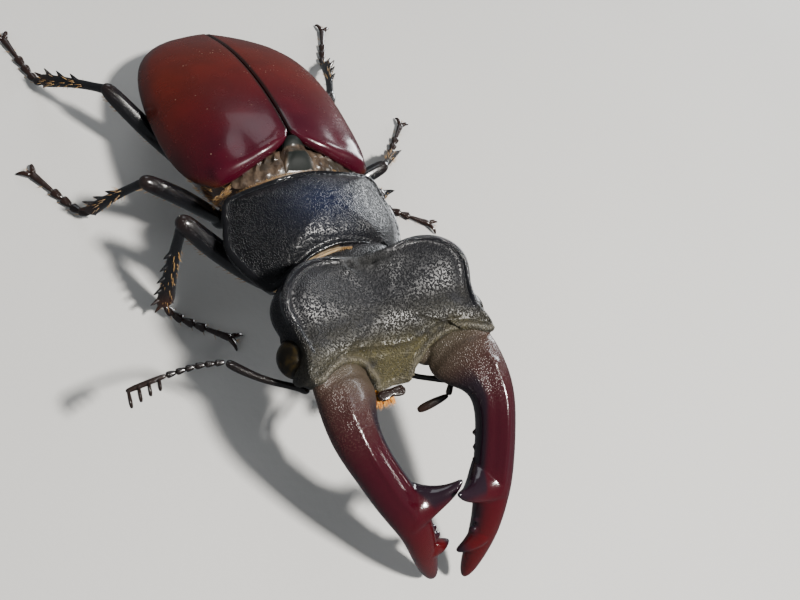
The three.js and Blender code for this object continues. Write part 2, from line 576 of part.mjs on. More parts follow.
for (const leg of LEGS) {
  const isFore = leg.name.startsWith('fore');
  const side = Math.sign(leg.hip[0]);
  const style = { broad: isFore ? 1.15 : 0.9, girth: leg.girth, thorns: isFore ? [0.45, 0.62, 0.78] : [0.6] };
  const hip = leg.carrier.localToWorld(vector(leg.hip));
  const knee = vector(leg.knee);
  const ankle = vector(leg.ankle);
  const shinTop = knee.clone().lerp(hip, 0.05);
  const middle = hip.clone().lerp(knee, 0.5).add(new THREE.Vector3(0, 0, leg.bow));
  const thigh = (grown = 0) => limb([hip.toArray(), middle.toArray(), knee.toArray()],
    [[0, 0.5, 0.5], [0.1, 0.85, 0.8], [0.35, 1.05, 1], [0.65, 1.05, 1.05], [0.88, 0.95, 0.95],
      [0.97, 0.75, 0.75], [1, 0.45, 0.45]].map(([share, width, height]) => [share,
      width * leg.girth, height * leg.girth]), { sides: 6, grown });
  const coxaPlace = [leg.hip[0] - side * 1.35, leg.hip[1], leg.hip[2] + 0.6];
  const coxa = ellipsoid(coxaPlace, isFore ? [1.75, 1.5, 1.3] : [2.5, 1.6, 1.25], 8);
  const flesh = isFore ? chestBody(GAP) : trunkBody(GAP);
  const fleshInWorld = flesh.clone().applyMatrix4(leg.carrier.matrixWorld);
  add(beetle, `${leg.name}_tarsus`, foot(ankle, leg.foot), LEG_SHELL);
  add(beetle, `${leg.name}_tibia`, cut(shin(shinTop, ankle, style), foot(ankle, leg.foot, GAP)), LEG_SHELL);
  add(beetle, `${leg.name}_femur`, cut(thigh(), shin(shinTop, ankle, style, GAP), fleshInWorld),
    LEG_SHELL);
  add(leg.carrier, `${leg.name}_coxa`, cut(coxa, toCarrier(thigh(GAP), leg.carrier), flesh), LEG_SHELL);
}

// ------------------------------------------------------------------ the origin

const reach = new THREE.Box3().setFromObject(beetle, true);
const centre = reach.getCenter(new THREE.Vector3());
beetle.position.set(-centre.x, -centre.y, -reach.min.z);

export default beetle;
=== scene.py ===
"""Stag beetle, Lucanus cervus: a large male, dressed over its solids.

Metres. The head faces -Y and the beetle's left side is +X. Places inside each region are given in
millimetres in that region's own frame: body, prothorax, head, or a mandible about its hinge.
"""

import math
import random

import bmesh
import bpy
import numpy as np
from mathutils import Matrix, Vector


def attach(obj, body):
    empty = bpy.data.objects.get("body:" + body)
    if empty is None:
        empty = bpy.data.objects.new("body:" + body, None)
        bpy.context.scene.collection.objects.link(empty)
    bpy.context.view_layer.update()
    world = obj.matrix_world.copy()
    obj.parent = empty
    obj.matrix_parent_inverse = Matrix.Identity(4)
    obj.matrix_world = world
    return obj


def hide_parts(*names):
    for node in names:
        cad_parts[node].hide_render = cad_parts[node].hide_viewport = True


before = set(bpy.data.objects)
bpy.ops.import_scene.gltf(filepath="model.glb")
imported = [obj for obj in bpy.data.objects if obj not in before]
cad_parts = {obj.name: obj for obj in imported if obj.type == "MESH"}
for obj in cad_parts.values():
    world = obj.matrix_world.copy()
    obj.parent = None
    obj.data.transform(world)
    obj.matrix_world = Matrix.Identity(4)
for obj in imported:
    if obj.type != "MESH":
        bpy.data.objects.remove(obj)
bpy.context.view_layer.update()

# ------------------------------------------------------------------ the beetle's frames

MM = 0.001
ORIGIN = (-1.2359, 3.2222, 15.5)  # the top of the wing cases at the joint, from the model's origin
BODY_PITCH = 9  # degrees, front end raised
PROTHORAX_TURN = 4.3
PROTHORAX_PIVOT = (0, 0.5, -5)
HEAD_PLACE = (1.2, -9.15, -2.3)
HEAD_TURN = (18.3, -3.9, -0.9)
HINGE = (6.6, -12, 0.4)
MANDIBLE_SWING = {"left": 0.2, "right": -7.6}
MANDIBLE_LIFT = {"left": -1.6, "right": 0.5}
SIDES = (("left", 1), ("right", -1))
UP = (0, 0, 1)
DOWN = (0, 0, -1)
CHANCE = random.Random(7)


def turned(x, y, z):
    """A turn by degrees about X, Y and Z, the last applied first."""
    made = Matrix.Identity(4)
    for degrees, axis in zip((x, y, z), "XYZ"):
        made = made @ Matrix.Rotation(math.radians(degrees), 4, axis)
    return made


def moved(place):
    return Matrix.Translation(Vector(place))


IN_MM = Matrix.Diagonal((MM, MM, MM, 1))
STAND = IN_MM @ moved((ORIGIN[0], ORIGIN[1], 0))  # level, on the floor under the body's origin
BODY = IN_MM @ moved(ORIGIN) @ turned(-BODY_PITCH, 0, 0)
PROTHORAX = (BODY @ moved(PROTHORAX_PIVOT) @ turned(0, 0, PROTHORAX_TURN)
             @ moved(-Vector(PROTHORAX_PIVOT)))
HEAD = PROTHORAX @ moved(HEAD_PLACE) @ turned(*HEAD_TURN)
MIRROR = Matrix.Diagonal((-1, 1, 1, 1))


def on_side(region, side):
    """A region's frame, mirrored for the right side."""
    return region if side > 0 else region @ MIRROR


def mandible_frame(name, side):
    swing = turned(MANDIBLE_LIFT[name], 0, MANDIBLE_SWING[name])
    return on_side(HEAD, side) @ moved(HINGE) @ swing


def to_side(places, side):
    """Places of the beetle's left side, or for the right side their mirror image."""
    return [(side * x, y, z) for x, y, z in places]


def shifted(places, across, along, up):
    return [(x + across, y + along, z + up) for x, y, z in places]


# ------------------------------------------------------------------ paths and selections


class Path:
    """A smooth line through places, read by the share of its length."""

    STEPS = 12

    def __init__(self, places, closed=False):
        knots = [Vector(p) for p in places]
        if closed:
            ends = [knots[-1], *knots, knots[0], knots[1]]
        else:
            ends = [2 * knots[0] - knots[1], *knots, 2 * knots[-1] - knots[-2]]
        self.points = []
        for a, b, c, d in zip(ends, ends[1:], ends[2:], ends[3:]):
            self.points += [self.between(a, b, c, d, k / self.STEPS) for k in range(self.STEPS)]
        self.points.append(ends[-2].copy())
        steps = [(q - p).length for p, q in zip(self.points, self.points[1:])]
        self.lengths = np.concatenate([[0], np.cumsum(steps)])

    @staticmethod
    def between(a, b, c, d, t):
        """Centripetal Catmull-Rom from b to c."""
        t0 = 0.0
        t1 = max((b - a).length, 1e-6) ** 0.5
        t2 = t1 + max((c - b).length, 1e-6) ** 0.5
        t3 = t2 + max((d - c).length, 1e-6) ** 0.5
        u = t1 + t * (t2 - t1)
        ab = a * ((t1 - u) / (t1 - t0)) + b * ((u - t0) / (t1 - t0))
        bc = b * ((t2 - u) / (t2 - t1)) + c * ((u - t1) / (t2 - t1))
        cd = c * ((t3 - u) / (t3 - t2)) + d * ((u - t2) / (t3 - t2))
        abc = ab * ((t2 - u) / (t2 - t0)) + bc * ((u - t0) / (t2 - t0))
        bcd = bc * ((t3 - u) / (t3 - t1)) + cd * ((u - t1) / (t3 - t1))
        return abc * ((t2 - u) / (t2 - t1)) + bcd * ((u - t1) / (t2 - t1))

    def at(self, share):
        want = share * self.lengths[-1]
        k = int(np.clip(np.searchsorted(self.lengths, want) - 1, 0, len(self.points) - 2))
        span = max(self.lengths[k + 1] - self.lengths[k], 1e-9)
        return self.points[k].lerp(self.points[k + 1], (want - self.lengths[k]) / span)

    def along(self, share):
        near = 0.01
        ahead = self.at(min(share + near, 1)) - self.at(max(share - near, 0))
        return ahead.normalized()


def nothing_selected():
    if bpy.context.object and bpy.context.object.mode != "OBJECT":
        bpy.ops.object.mode_set(mode="OBJECT")
    bpy.ops.object.select_all(action="DESELECT")


def pick(piece):
    nothing_selected()
    piece.select_set(True)
    bpy.context.view_layer.objects.active = piece


def apply_modifier(piece, kind, **settings):
    pick(piece)
    modifier = piece.modifiers.new(kind.title(), kind)
    for name, value in settings.items():
        setattr(modifier, name, value)
    bpy.ops.object.modifier_apply(modifier=modifier.name)


def subdivided(piece, levels):
    apply_modifier(piece, "SUBSURF", levels=levels, render_levels=levels)
    return piece


def outward(piece):
    pick(piece)
    bpy.ops.object.mode_set(mode="EDIT")
    bpy.ops.mesh.select_all(action="SELECT")
    bpy.ops.mesh.normals_make_consistent(inside=False)
    bpy.ops.object.mode_set(mode="OBJECT")
    return piece


def smooth(piece, angle):
    pick(piece)
    bpy.ops.object.shade_smooth_by_angle(angle=math.radians(angle))


def join(name, pieces):
    pick(pieces[0])
    for piece in pieces[1:]:
        piece.select_set(True)
    bpy.ops.object.join()
    made = bpy.context.object
    made.name = made.data.name = name
    return made


def softened(piece, times):
    apply_modifier(piece, "SMOOTH", factor=0.5, iterations=times)


def fused(piece, voxel, softening):
    """Melts overlapping shapes into one skin, as clay is, and softens where they meet."""
    pick(piece)
    piece.data.remesh_voxel_size = voxel * MM
    piece.data.remesh_voxel_adaptivity = 0
    bpy.ops.object.voxel_remesh()
    softened(piece, softening)
    return piece


# ------------------------------------------------------------------ basic shapes


def ring_place(path, station, up):
    """Where a ring of unit size goes on a path: its place, turn, and half width and half height."""
    share, half_width, half_height, tilt = (*station, 0)[:4]
    along = path.along(share)
    across = along.cross(Vector(up)).normalized()
    height = across.cross(along)
    turn = Matrix((across, height, along)).transposed().to_4x4()
    size = Matrix.Diagonal((half_width, half_height, 1, 1))
    return moved(path.at(share)) @ turn @ Matrix.Rotation(math.radians(tilt), 4, "Z") @ size


def drawn_limb(name, region, places, stations, up=UP, sides=12, levels=2):
    """A circle drawn out along a path, ring by ring, then rounded.

    Each station is (share of the path, half width, half height) and may add a tilt in degrees."""
    path = Path(places)
    full = 3 / (2 + math.cos(2 * math.pi / sides))  # rounding draws a ring in by this much
    fullness = Matrix.Diagonal((full, full, 1, 1))
    rings = [region @ ring_place(path, station, up) @ fullness for station in stations]
    nothing_selected()
    bpy.ops.mesh.primitive_circle_add(vertices=sides, radius=1, fill_type="NGON")
    limb = bpy.context.object
    limb.name = limb.data.name = name
    limb.data.transform(rings[0])
    bpy.ops.object.mode_set(mode="EDIT")
    bpy.ops.mesh.select_all(action="SELECT")
    for before, after in zip(rings, rings[1:]):
        bpy.ops.mesh.extrude_region_move()
        mesh = bmesh.from_edit_mesh(limb.data)
        drawn = [v for v in mesh.verts if v.select]
        bmesh.ops.transform(mesh, matrix=after @ before.inverted(), verts=drawn)
        bmesh.update_edit_mesh(limb.data)
    bpy.ops.object.mode_set(mode="OBJECT")
    return subdivided(outward(limb), levels)


def ball(name, region, centre, radii, segments, rings):
    nothing_selected()
    bpy.ops.mesh.primitive_uv_sphere_add(segments=segments, ring_count=rings, radius=1)
    made = bpy.context.object
    made.name = made.data.name = name
    made.data.transform(region @ moved(centre) @ Matrix.Diagonal((*radii, 1)))
    return outward(made)


def cushion(name, region, edge, crown, keel, walls, power=2, levels=1,
            upper=(0.9, 0.75, 0.55, 0.3), lower=(0.7, 0.4)):
    """A closed body drawn from an edge line up to its crown and down to its keel.

    Upper and lower are the shares of the edge's width at which rings lie; power rounds its top."""
    count = len(edge)
    crown, keel = Vector(crown), Vector(keel)

    def ring(rim, centre, share):
        return [Vector((centre.x + (p.x - centre.x) * share, centre.y + (p.y - centre.y) * share,
                        centre.z + (p.z - centre.z) * share ** power)) for p in rim]

    rim = [Vector(p) for p in edge]
    sides = [walls(rim, k) for k in range(walls.steps)] if walls else []
    foot = sides[-1] if sides else rim
    rings = [ring(rim, crown, s) for s in reversed(upper)] + [rim] + sides
    rings += [ring(foot, keel, s) for s in lower]
    nothing_selected()
    bpy.ops.mesh.primitive_circle_add(vertices=count, radius=1, fill_type="TRIFAN")
    made = bpy.context.object
    made.name = made.data.name = name
    bpy.ops.object.mode_set(mode="EDIT")
    mesh = bmesh.from_edit_mesh(made.data)
    mesh.verts.ensure_lookup_table()
    hub = max(mesh.verts, key=lambda v: len(v.link_edges))
    hub.co = region @ crown
    last = sorted((v for v in mesh.verts if v is not hub), key=lambda v: math.atan2(v.co.y, v.co.x))
    for v, p in zip(last, rings[0]):
        v.co = region @ p
    for places in rings[1:]:
        fresh = [mesh.verts.new(region @ p) for p in places]
        for k in range(count):
            n = (k + 1) % count
            mesh.faces.new((last[k], last[n], fresh[n], fresh[k]))
        last = fresh
    end = mesh.verts.new(region @ keel)
    for k in range(count):
        mesh.faces.new((last[k], last[(k + 1) % count], end))
    bmesh.update_edit_mesh(made.data)
    bpy.ops.object.mode_set(mode="OBJECT")
    return subdivided(outward(made), levels)


class Walls:
    """The steps of a cushion's side: (share across, share along, fall).

    A fall is in millimetres, or with a keel height the share of the way down to it."""

    def __init__(self, centre, steps, keel=None):
        self.centre = Vector(centre)
        self.list = steps
        self.steps = len(steps)
        self.keel = keel

    def __call__(self, rim, k):
        across, length, fall = self.list[k]
        made = []
        for p in rim:
            z = p.z - fall if self.keel is None else p.z + (self.keel - p.z) * fall
            x = self.centre.x + (p.x - self.centre.x) * across
            y = self.centre.y + (p.y - self.centre.y) * length
            made.append(Vector((x, y, z)))
        return made


def edge_line(half, count):
    """A closed edge line, alike on both sides, from its left half, rear to front."""
    right = [(-x, y, z) for x, y, z in reversed(half[1:-1])]
    path = Path([*half, *right], closed=True)
    return [path.at(k / count) for k in range(count)]


def cad_copy(node, name):
    """A copy of a solid's mesh with its loose triangles joined into quads."""
    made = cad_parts[node].copy()
    made.data = made.data.copy()
    made.name = made.data.name = name
    bpy.context.scene.collection.objects.link(made)
    made.hide_render = made.hide_viewport = False
    pick(made)
    bpy.ops.object.mode_set(mode="EDIT")
    bpy.ops.mesh.select_all(action="SELECT")
    bpy.ops.mesh.remove_doubles(threshold=2e-6)
    bend = math.radians(60)
    bpy.ops.mesh.tris_convert_to_quads(face_threshold=bend, shape_threshold=bend)
    bpy.ops.object.mode_set(mode="OBJECT")
    for layer in list(made.data.uv_layers):
        made.data.uv_layers.remove(layer)
    return made


# ------------------------------------------------------------------ sculpting strokes


def local_points(piece, region):
    count = len(piece.data.vertices)
    places = np.empty(count * 3)
    piece.data.vertices.foreach_get("co", places)
    back = np.array(region.inverted())
    return places.reshape(-1, 3) @ back[:3, :3].T + back[:3, 3]


def local_normals(piece, region):
    """Unit normals in the region's own frame."""
    count = len(piece.data.vertices)
    normals = np.empty(count * 3)
    piece.data.vertices.foreach_get("normal", normals)
    turn = np.array(region.to_3x3())
    turned_back = normals.reshape(-1, 3) @ turn
    return turned_back / np.linalg.norm(turned_back, axis=1, keepdims=True).clip(1e-12)


def put_points(piece, region, places):
    out = np.array(region)
    piece.data.vertices.foreach_set("co", (places @ out[:3, :3].T + out[:3, 3]).ravel())
    piece.data.update()


def distance_to(points, line, flat, reach=None):
    """Distance from each point to a line of places, in plan if flat, and the share along it.

    With a reach, points further away than that are left at an endless distance."""
    axes = 2 if flat else 3
    knots = np.array([list(p) for p in line])[:, :axes]
    near = np.full(len(points), np.inf)
    share = np.zeros(len(points))
    if reach is not None:
        inside = np.logical_and(points[:, :axes] > knots.min(0) - reach,
                                points[:, :axes] < knots.max(0) + reach).all(1)
        near[inside], share[inside] = distance_to(points[inside], line, flat)
        return near, share
    for k in range(len(knots) - 1):
        a, b = knots[k], knots[k + 1]
        span = b - a
        t = ((points[:, :axes] - a) @ span / max(span @ span, 1e-12)).clip(0, 1)
        gap = np.linalg.norm(points[:, :axes] - a - t[:, None] * span, axis=1)
        closer = gap < near
        near[closer] = gap[closer]
        share[closer] = (k + t[closer]) / (len(knots) - 1)
    return near, share


def bell(distance, width):
    return np.exp(-((distance / width) ** 2))


def step(low, high, value):
    t = ((value - low) / (high - low)).clip(0, 1)
    return t * t * (3 - 2 * t)


def raised(piece, region, points, rise, facing):
    """Moves points along their normals, where facing is given only on the faces that look that way."""
    normals = local_normals(piece, region)
    if facing is not None:
        rise *= step(0.0, 0.45, normals @ np.array(facing, dtype=float))
    put_points(piece, region, points + normals * rise[:, None])


def stroke(piece, region, places, width, height, flat=True, facing=None, fade=0.0, curved=True):
    """Raises a ridge, or with a minus height cuts a groove, along a line on a piece's surface."""
    points = local_points(piece, region)
    line = Path(places).points if curved and len(places) > 2 else places
    gap, share = distance_to(points, line, flat, 3 * width)
    rise = height * bell(gap, width)
    if fade:
        rise *= step(0, fade, share) * step(0, fade, 1 - share)
    raised(piece, region, points, rise, facing)


def swell(piece, region, centre, radius, height, facing=None):
    """Raises a rounded swelling, or with a minus height presses a hollow."""
    points = local_points(piece, region)
    offset = (points - np.array(centre)) / np.array(radius)
    raised(piece, region, points, height * np.exp(-(offset ** 2).sum(1)), facing)


def tint(piece, name, values):
    """Keeps a painted mask on the piece, from 0 to 1, for its material to read."""
    layer = piece.data.attributes.new(name, "FLOAT", "POINT")
    layer.data.foreach_set("value", np.asarray(values, dtype=np.float32).clip(0, 1))


def tint_evenly(piece, name, value):
    tint(piece, name, np.full(len(piece.data.vertices), value))


# ------------------------------------------------------------------ hair


def hair(name, roots, region, thickness):
    """Solid tapered hairs. Each root is (place, direction, length, droop, (u, v)) in the region."""
    places, faces, patches = [], [], []
    sides, rings = 3, 3
    patch = 0.0015  # half the width of a hair's place on its map
    for place, direction, length, droop, spot in roots:
        along = Vector(direction).normalized()
        across = along.cross(Vector((0.3, 0.2, 1))).normalized()
        other = along.cross(across)
        base = len(places)
        for r in range(rings):
            share = r / rings
            centre = Vector(place) + along * length * share + Vector((0, 0, -droop * share * share))
            wide = thickness * (1 - 0.6 * share)
            for k in range(sides):
                angle = 2 * math.pi * k / sides
                point = centre + across * (wide * math.cos(angle)) + other * (wide * math.sin(angle))
                places.append(region @ point)
                patches.append((spot[0] + patch * math.cos(angle) * (1 - share),
                                spot[1] + patch * math.sin(angle) * (1 - share)))
        places.append(region @ (Vector(place) + along * length + Vector((0, 0, -droop))))
        patches.append(spot)
        tip = len(places) - 1
        for r in range(rings - 1):
            for k in range(sides):
                n = (k + 1) % sides
                a, b = base + r * sides + k, base + r * sides + n
                faces.append((a, b, b + sides, a + sides))
        end = base + (rings - 1) * sides
        faces += [(end + k, end + (k + 1) % sides, tip) for k in range(sides)]
        faces.append(tuple(base + k for k in reversed(range(sides))))
    mesh = bpy.data.meshes.new(name)
    mesh.from_pydata([tuple(p) for p in places], [], faces)
    layer = mesh.uv_layers.new(name="OFBake")
    for loop in mesh.loops:
        layer.data[loop.index].uv = patches[loop.vertex_index]
    made = bpy.data.objects.new(name, mesh)
    bpy.context.scene.collection.objects.link(made)
    outward(made)
    for polygon in mesh.polygons:
        polygon.use_smooth = True
    return made


# ------------------------------------------------------------------ materials

SURFACE_INPUTS = {
    "colour": "Base Color", "roughness": "Roughness", "normal": "Normal", "coat": "Coat Weight",
    "coat_roughness": "Coat Roughness", "specular": "Specular IOR Level", "sheen": "Sheen Weight",
    "sheen_roughness": "Sheen Roughness",
}


class Finish:
    """A material, or given a tree a group of nodes, with short ways to add its nodes."""

    def __init__(self, name, tree=None):
        if tree is None:
            self.material = bpy.data.materials.new(name)
            self.material.use_nodes = True
            self.tree = self.material.node_tree
            self.surface = self.tree.nodes["Principled BSDF"]
        else:
            self.tree = tree

    def node(self, kind, inputs=None, **settings):
        made = self.tree.nodes.new("ShaderNode" + kind)
        for name, value in settings.items():
            setattr(made, name, value)
        for name, value in (inputs or {}).items():
            self.set(made.inputs[name], value)
        return made

    def set(self, socket, value):
        if isinstance(value, bpy.types.NodeSocket):
            self.tree.links.new(value, socket)
        elif socket.type == "RGBA" and len(value) == 3:
            socket.default_value = (*value, 1)
        else:
            socket.default_value = value

    def place(self):
        return self.node("TexCoord").outputs["Object"]

    def painted(self, name):
        return self.node("Attribute", attribute_name=name).outputs["Fac"]

    def mix(self, share, first, second, blend="MIX"):
        made = self.node("Mix", data_type="RGBA", blend_type=blend)
        self.set(made.inputs[0], share)
        self.set(made.inputs[6], first)
        self.set(made.inputs[7], second)
        return made.outputs[2]

    def blend(self, share, low, high):
        made = self.node("Mix", data_type="FLOAT")
        self.set(made.inputs[0], share)
        self.set(made.inputs[2], low)
        self.set(made.inputs[3], high)
        return made.outputs[0]

    def maths(self, operation, first, second):
        made = self.node("Math", operation=operation)
        self.set(made.inputs[0], first)
        self.set(made.inputs[1], second)
        return made.outputs[0]

    def times(self, first, second):
        return self.maths("MULTIPLY", first, second)

    def plus(self, first, second):
        return self.maths("ADD", first, second)

    def minus(self, first, second):
        return self.maths("SUBTRACT", first, second)

    def between(self, value, low, high):
        made = self.node("MapRange", interpolation_type="SMOOTHSTEP")
        for socket, given in zip(made.inputs, (value, low, high)):
            self.set(socket, given)
        return made.outputs[0]

    def noise(self, size_mm, detail=3):
        made = self.node("TexNoise", {"Vector": self.place(), "Scale": 1 / (size_mm * MM),
                                      "Detail": detail, "Roughness": 0.55})
        return made.outputs["Fac"]

    def cells(self, size_mm, feature="F1", randomness=1.0):
        made = self.node("TexVoronoi", {"Vector": self.place(), "Scale": 1 / (size_mm * MM),
                                        "Randomness": randomness}, feature=feature)
        return made.outputs["Distance"]

    def bump(self, height, depth_mm, normal=None):
        made = self.node("Bump", {"Height": height, "Strength": 1.0, "Distance": depth_mm * MM})
        if normal is not None:
            self.set(made.inputs["Normal"], normal)
        return made.outputs["Normal"]

    def use(self, group, **inputs):
        made = self.node("Group")
        made.node_tree = group
        for name, value in inputs.items():
            self.set(made.inputs[name.replace("_", " ").capitalize()], value)
        return made.outputs

    def done(self, **values):
        for name, value in values.items():
            self.set(self.surface.inputs[SURFACE_INPUTS[name]], value)
        return self.material


def effect(name, inputs, outputs):
    """A node group with only its sockets. It gives the group's tools and its two ends."""
    tree = bpy.data.node_groups.new(name, "ShaderNodeTree")
    for label, value in inputs:
        socket = tree.interface.new_socket(label, in_out="INPUT", socket_type="NodeSocketFloat")
        socket.default_value = value
    for label, kind in outputs:
        tree.interface.new_socket(label, in_out="OUTPUT", socket_type=kind)
    given, out = tree.nodes.new("NodeGroupInput"), tree.nodes.new("NodeGroupOutput")
    return Finish(name, tree), given.outputs, out.inputs


def relief_effect(name, size, depth, mask):
    """The group of a small relief in the shell, with its scale and its cells, for one of two patterns."""
    work, given, out = effect(name, [("Size", size), ("Depth", depth), ("Amount", 1.0)],
                              [("Normal", "NodeSocketVector"), (mask, "NodeSocketFloat")])
    scale = work.maths("DIVIDE", 1000.0, given["Size"])
    cells = work.node("TexVoronoi", {"Vector": work.place(), "Scale": scale}).outputs["Distance"]
    return work, given, out, scale, cells


def relief_done(work, given, out, height, mask, spots):
    bump = work.node("Bump", {"Height": height, "Strength": given["Amount"],
                              "Distance": work.times(given["Depth"], MM)})
    work.set(out["Normal"], bump.outputs["Normal"])
    work.set(out[mask], spots)
    return work.tree


def granule_effect():
    """Close-set rounded granules. Tops are 1 on each grain's crown."""
    work, given, out, scale, cells = relief_effect("Shell granules", 0.14, 0.03, "Tops")
    fine = work.node("TexNoise", {"Vector": work.place(), "Scale": work.times(scale, 0.9), "Detail": 2.0})
    tops = work.between(cells, 0.62, 0.1)
    height = work.times(tops, work.plus(fine.outputs["Fac"], 0.3))
    return relief_done(work, given, out, height, "Tops", tops)


def puncture_effect():
    """Fine round pits set apart in a smooth shell. Pits are 1 in each hole."""
    work, given, out, _, cells = relief_effect("Shell punctures", 0.3, 0.02, "Pits")
    pits = work.between(cells, 0.42, 0.12)
    height = work.minus(work.times(work.noise(1.4), 0.6), pits)
    return relief_done(work, given, out, height, "Pits", pits)


def dust_effect():
    """Pale specks of dust and soil that lie on upward faces."""
    work, given, out = effect("Dust specks", [("Amount", 0.5)], [("Specks", "NodeSocketFloat")])
    where = work.between(work.noise(4.0, 2), 0.48, 0.7)
    specks = work.between(work.cells(0.55), 0.16, 0.06)
    facing = work.node("SeparateXYZ", {"Vector": work.node("NewGeometry").outputs["Normal"]})
    up = work.between(facing.outputs["Z"], 0.1, 0.8)
    work.set(out["Specks"], work.times(work.times(work.times(where, specks), up), given["Amount"]))
    return work.tree


GRANULES = granule_effect()
PUNCTURES = puncture_effect()
DUST = dust_effect()


def head_finish():
    """Dull black granular shell, olive towards the front, with smooth black ridges; painted glints on the
    granule crowns and painted shade in the rear hollow.
    """
    work = Finish("head_granular_shell")
    grain = work.use(GRANULES, size=0.15, depth=0.05, amount=1.0)
    front = work.painted("front")
    bare = work.painted("bare")
    base = work.mix(front, (0.004, 0.004, 0.006), (0.065, 0.055, 0.021))
    patch = work.mix(work.between(work.noise(2.2), 0.45, 0.8), base, (0.009, 0.009, 0.012))
    # The granule crowns are painted paler: painted glints.
    tops = work.times(grain["Tops"], 0.2)
    lit = work.mix(tops, patch, (0.04, 0.042, 0.05))
    # The rear hollow is painted near black: painted shade in the recess. Its higher roughness is the
    # shell's own.
    hollow = work.mix(work.painted("hollow"), lit, (0.004, 0.004, 0.004))
    smooth_black = work.mix(bare, hollow, (0.006, 0.006, 0.008))
    pale = work.times(work.painted("pale"), 0.7)
    colour = work.mix(pale, smooth_black, (0.13, 0.115, 0.085))
    rough = work.blend(work.painted("hollow"), work.blend(bare, 0.46, 0.18), 0.85)
    height = work.times(grain["Tops"], work.minus(1.0, bare))
    rolling = work.bump(work.noise(0.5, 3), 0.03)
    normal = work.bump(height, 0.12, normal=rolling)
    return work.done(colour=colour, roughness=rough, normal=normal, specular=0.65)


def pronotum_finish():
    """Black shell with dense fine punctures, blue-black and smoother in the middle, with painted glints on
    its granule crowns.
    """
    work = Finish("pronotum_shell")
    grain = work.use(GRANULES, size=0.16, depth=0.04, amount=1.0)
    middle = work.painted("middle")
    bare = work.painted("bare")
    base = work.mix(middle, (0.004, 0.004, 0.005), (0.002, 0.005, 0.023))
    # The granule crowns are painted paler: painted glints.
    tops = work.times(grain["Tops"], 0.3)
    lit = work.mix(tops, base, (0.018, 0.02, 0.025))
    colour = work.mix(bare, lit, (0.005, 0.005, 0.006))
    rough = work.blend(bare, work.blend(middle, 0.38, 0.3), 0.16)
    smoother = work.minus(1.0, work.times(middle, 0.55))
    height = work.times(grain["Tops"], work.times(smoother, work.minus(1.0, bare)))
    rolling = work.bump(work.noise(1.6, 4), 0.22)
    normal = work.bump(height, 0.09, normal=rolling)
    return work.done(colour=colour, roughness=rough, normal=normal, specular=0.4)


def wing_case_finish():
    """Glossy deep maroon, purple towards the front and warm brown to the rear and sides, with painted shade
    along the rim and underneath.
    """
    work = Finish("wing_case_shell")
    pits = work.use(PUNCTURES, size=0.34, depth=0.006, amount=0.6)
    dust = work.use(DUST, amount=0.55)
    middle = work.mix(work.painted("rear"), (0.034, 0.0017, 0.0075), (0.075, 0.0082, 0.0032))
    # The rim and the lowest part of each case are painted darker: painted shade.
    shade = work.mix(work.painted("rim"), middle, (0.03, 0.007, 0.003))
    seam = work.mix(work.painted("seam"), shade, (0.006, 0.003, 0.002))
    mottles = work.between(work.noise(3.5, 4), 0.3, 0.75)
    mottled = work.mix(mottles, seam, (1.35, 1.15, 1.1), blend="MULTIPLY")
    colour = work.mix(dust["Specks"], mottled, (0.45, 0.33, 0.24))
    rough = work.plus(work.blend(work.noise(2.0, 4), 0.2, 0.32), work.times(dust["Specks"], 0.4))
    return work.done(colour=colour, roughness=rough, normal=pits["Normal"], coat=0.3,
                     coat_roughness=0.08, specular=0.4)


def mandible_finish():
    """Grey-brown and granular at the root, glossy wine red along the shaft, black at the teeth."""
    work = Finish("mandible_shell")
    grain = work.use(GRANULES, size=0.16, depth=0.03, amount=1.0)
    reach = work.painted("reach")
    teeth = work.painted("teeth")
    root = work.mix(work.between(reach, 0.02, 0.2), (0.055, 0.046, 0.03), (0.035, 0.013, 0.011))
    shaft = work.mix(work.between(reach, 0.12, 0.34), root, (0.032, 0.0017, 0.006))
    far = work.mix(work.between(reach, 0.55, 0.9), shaft, (0.062, 0.0025, 0.0035))
    left_over = work.minus(1.0, work.between(reach, 0.04, 0.42))
    speckle = work.times(grain["Tops"], work.plus(work.times(left_over, 0.25), 0.02))
    dusted = work.mix(speckle, far, (0.14, 0.1, 0.07))
    colour = work.mix(teeth, dusted, (0.006, 0.006, 0.011))
    rough = work.blend(left_over, 0.16, 0.4)
    height = work.times(grain["Tops"], work.plus(left_over, 0.08))
    coat = work.blend(left_over, 0.9, 0.05)
    return work.done(colour=colour, roughness=rough, normal=work.bump(height, 0.035), coat=coat,
                     coat_roughness=0.09, specular=0.45)


def black_shell_finish(name, colour=(0.004, 0.004, 0.005), warm=(0.035, 0.012, 0.005), size=0.3,
                       depth=0.012, rough=(0.16, 0.3)):
    """Glossy black shell with fine punctures, browner where it is painted warm."""
    work = Finish(name)
    pits = work.use(PUNCTURES, size=size, depth=depth, amount=1.0)
    base = work.mix(work.painted("warm"), colour, warm)
    worn = work.mix(work.between(work.noise(0.9), 0.6, 0.85), base, (0.009, 0.008, 0.008))
    return work.done(colour=worn, roughness=work.blend(work.noise(1.2, 4), *rough),
                     normal=pits["Normal"], coat=0.8, coat_roughness=0.07, specular=0.55)


def eye_finish():
    """Dark glossy eye of very fine facets."""
    work = Finish("faceted_eye")
    facets = work.cells(0.055, "DISTANCE_TO_EDGE", 0.25)
    patches = work.between(work.noise(0.8), 0.4, 0.7)
    colour = work.mix(patches, (0.004, 0.003, 0.0015), (0.02, 0.013, 0.003))
    return work.done(colour=colour, roughness=0.28, normal=work.bump(facets, 0.012), coat=0.15,
                     coat_roughness=0.1, specular=0.35)


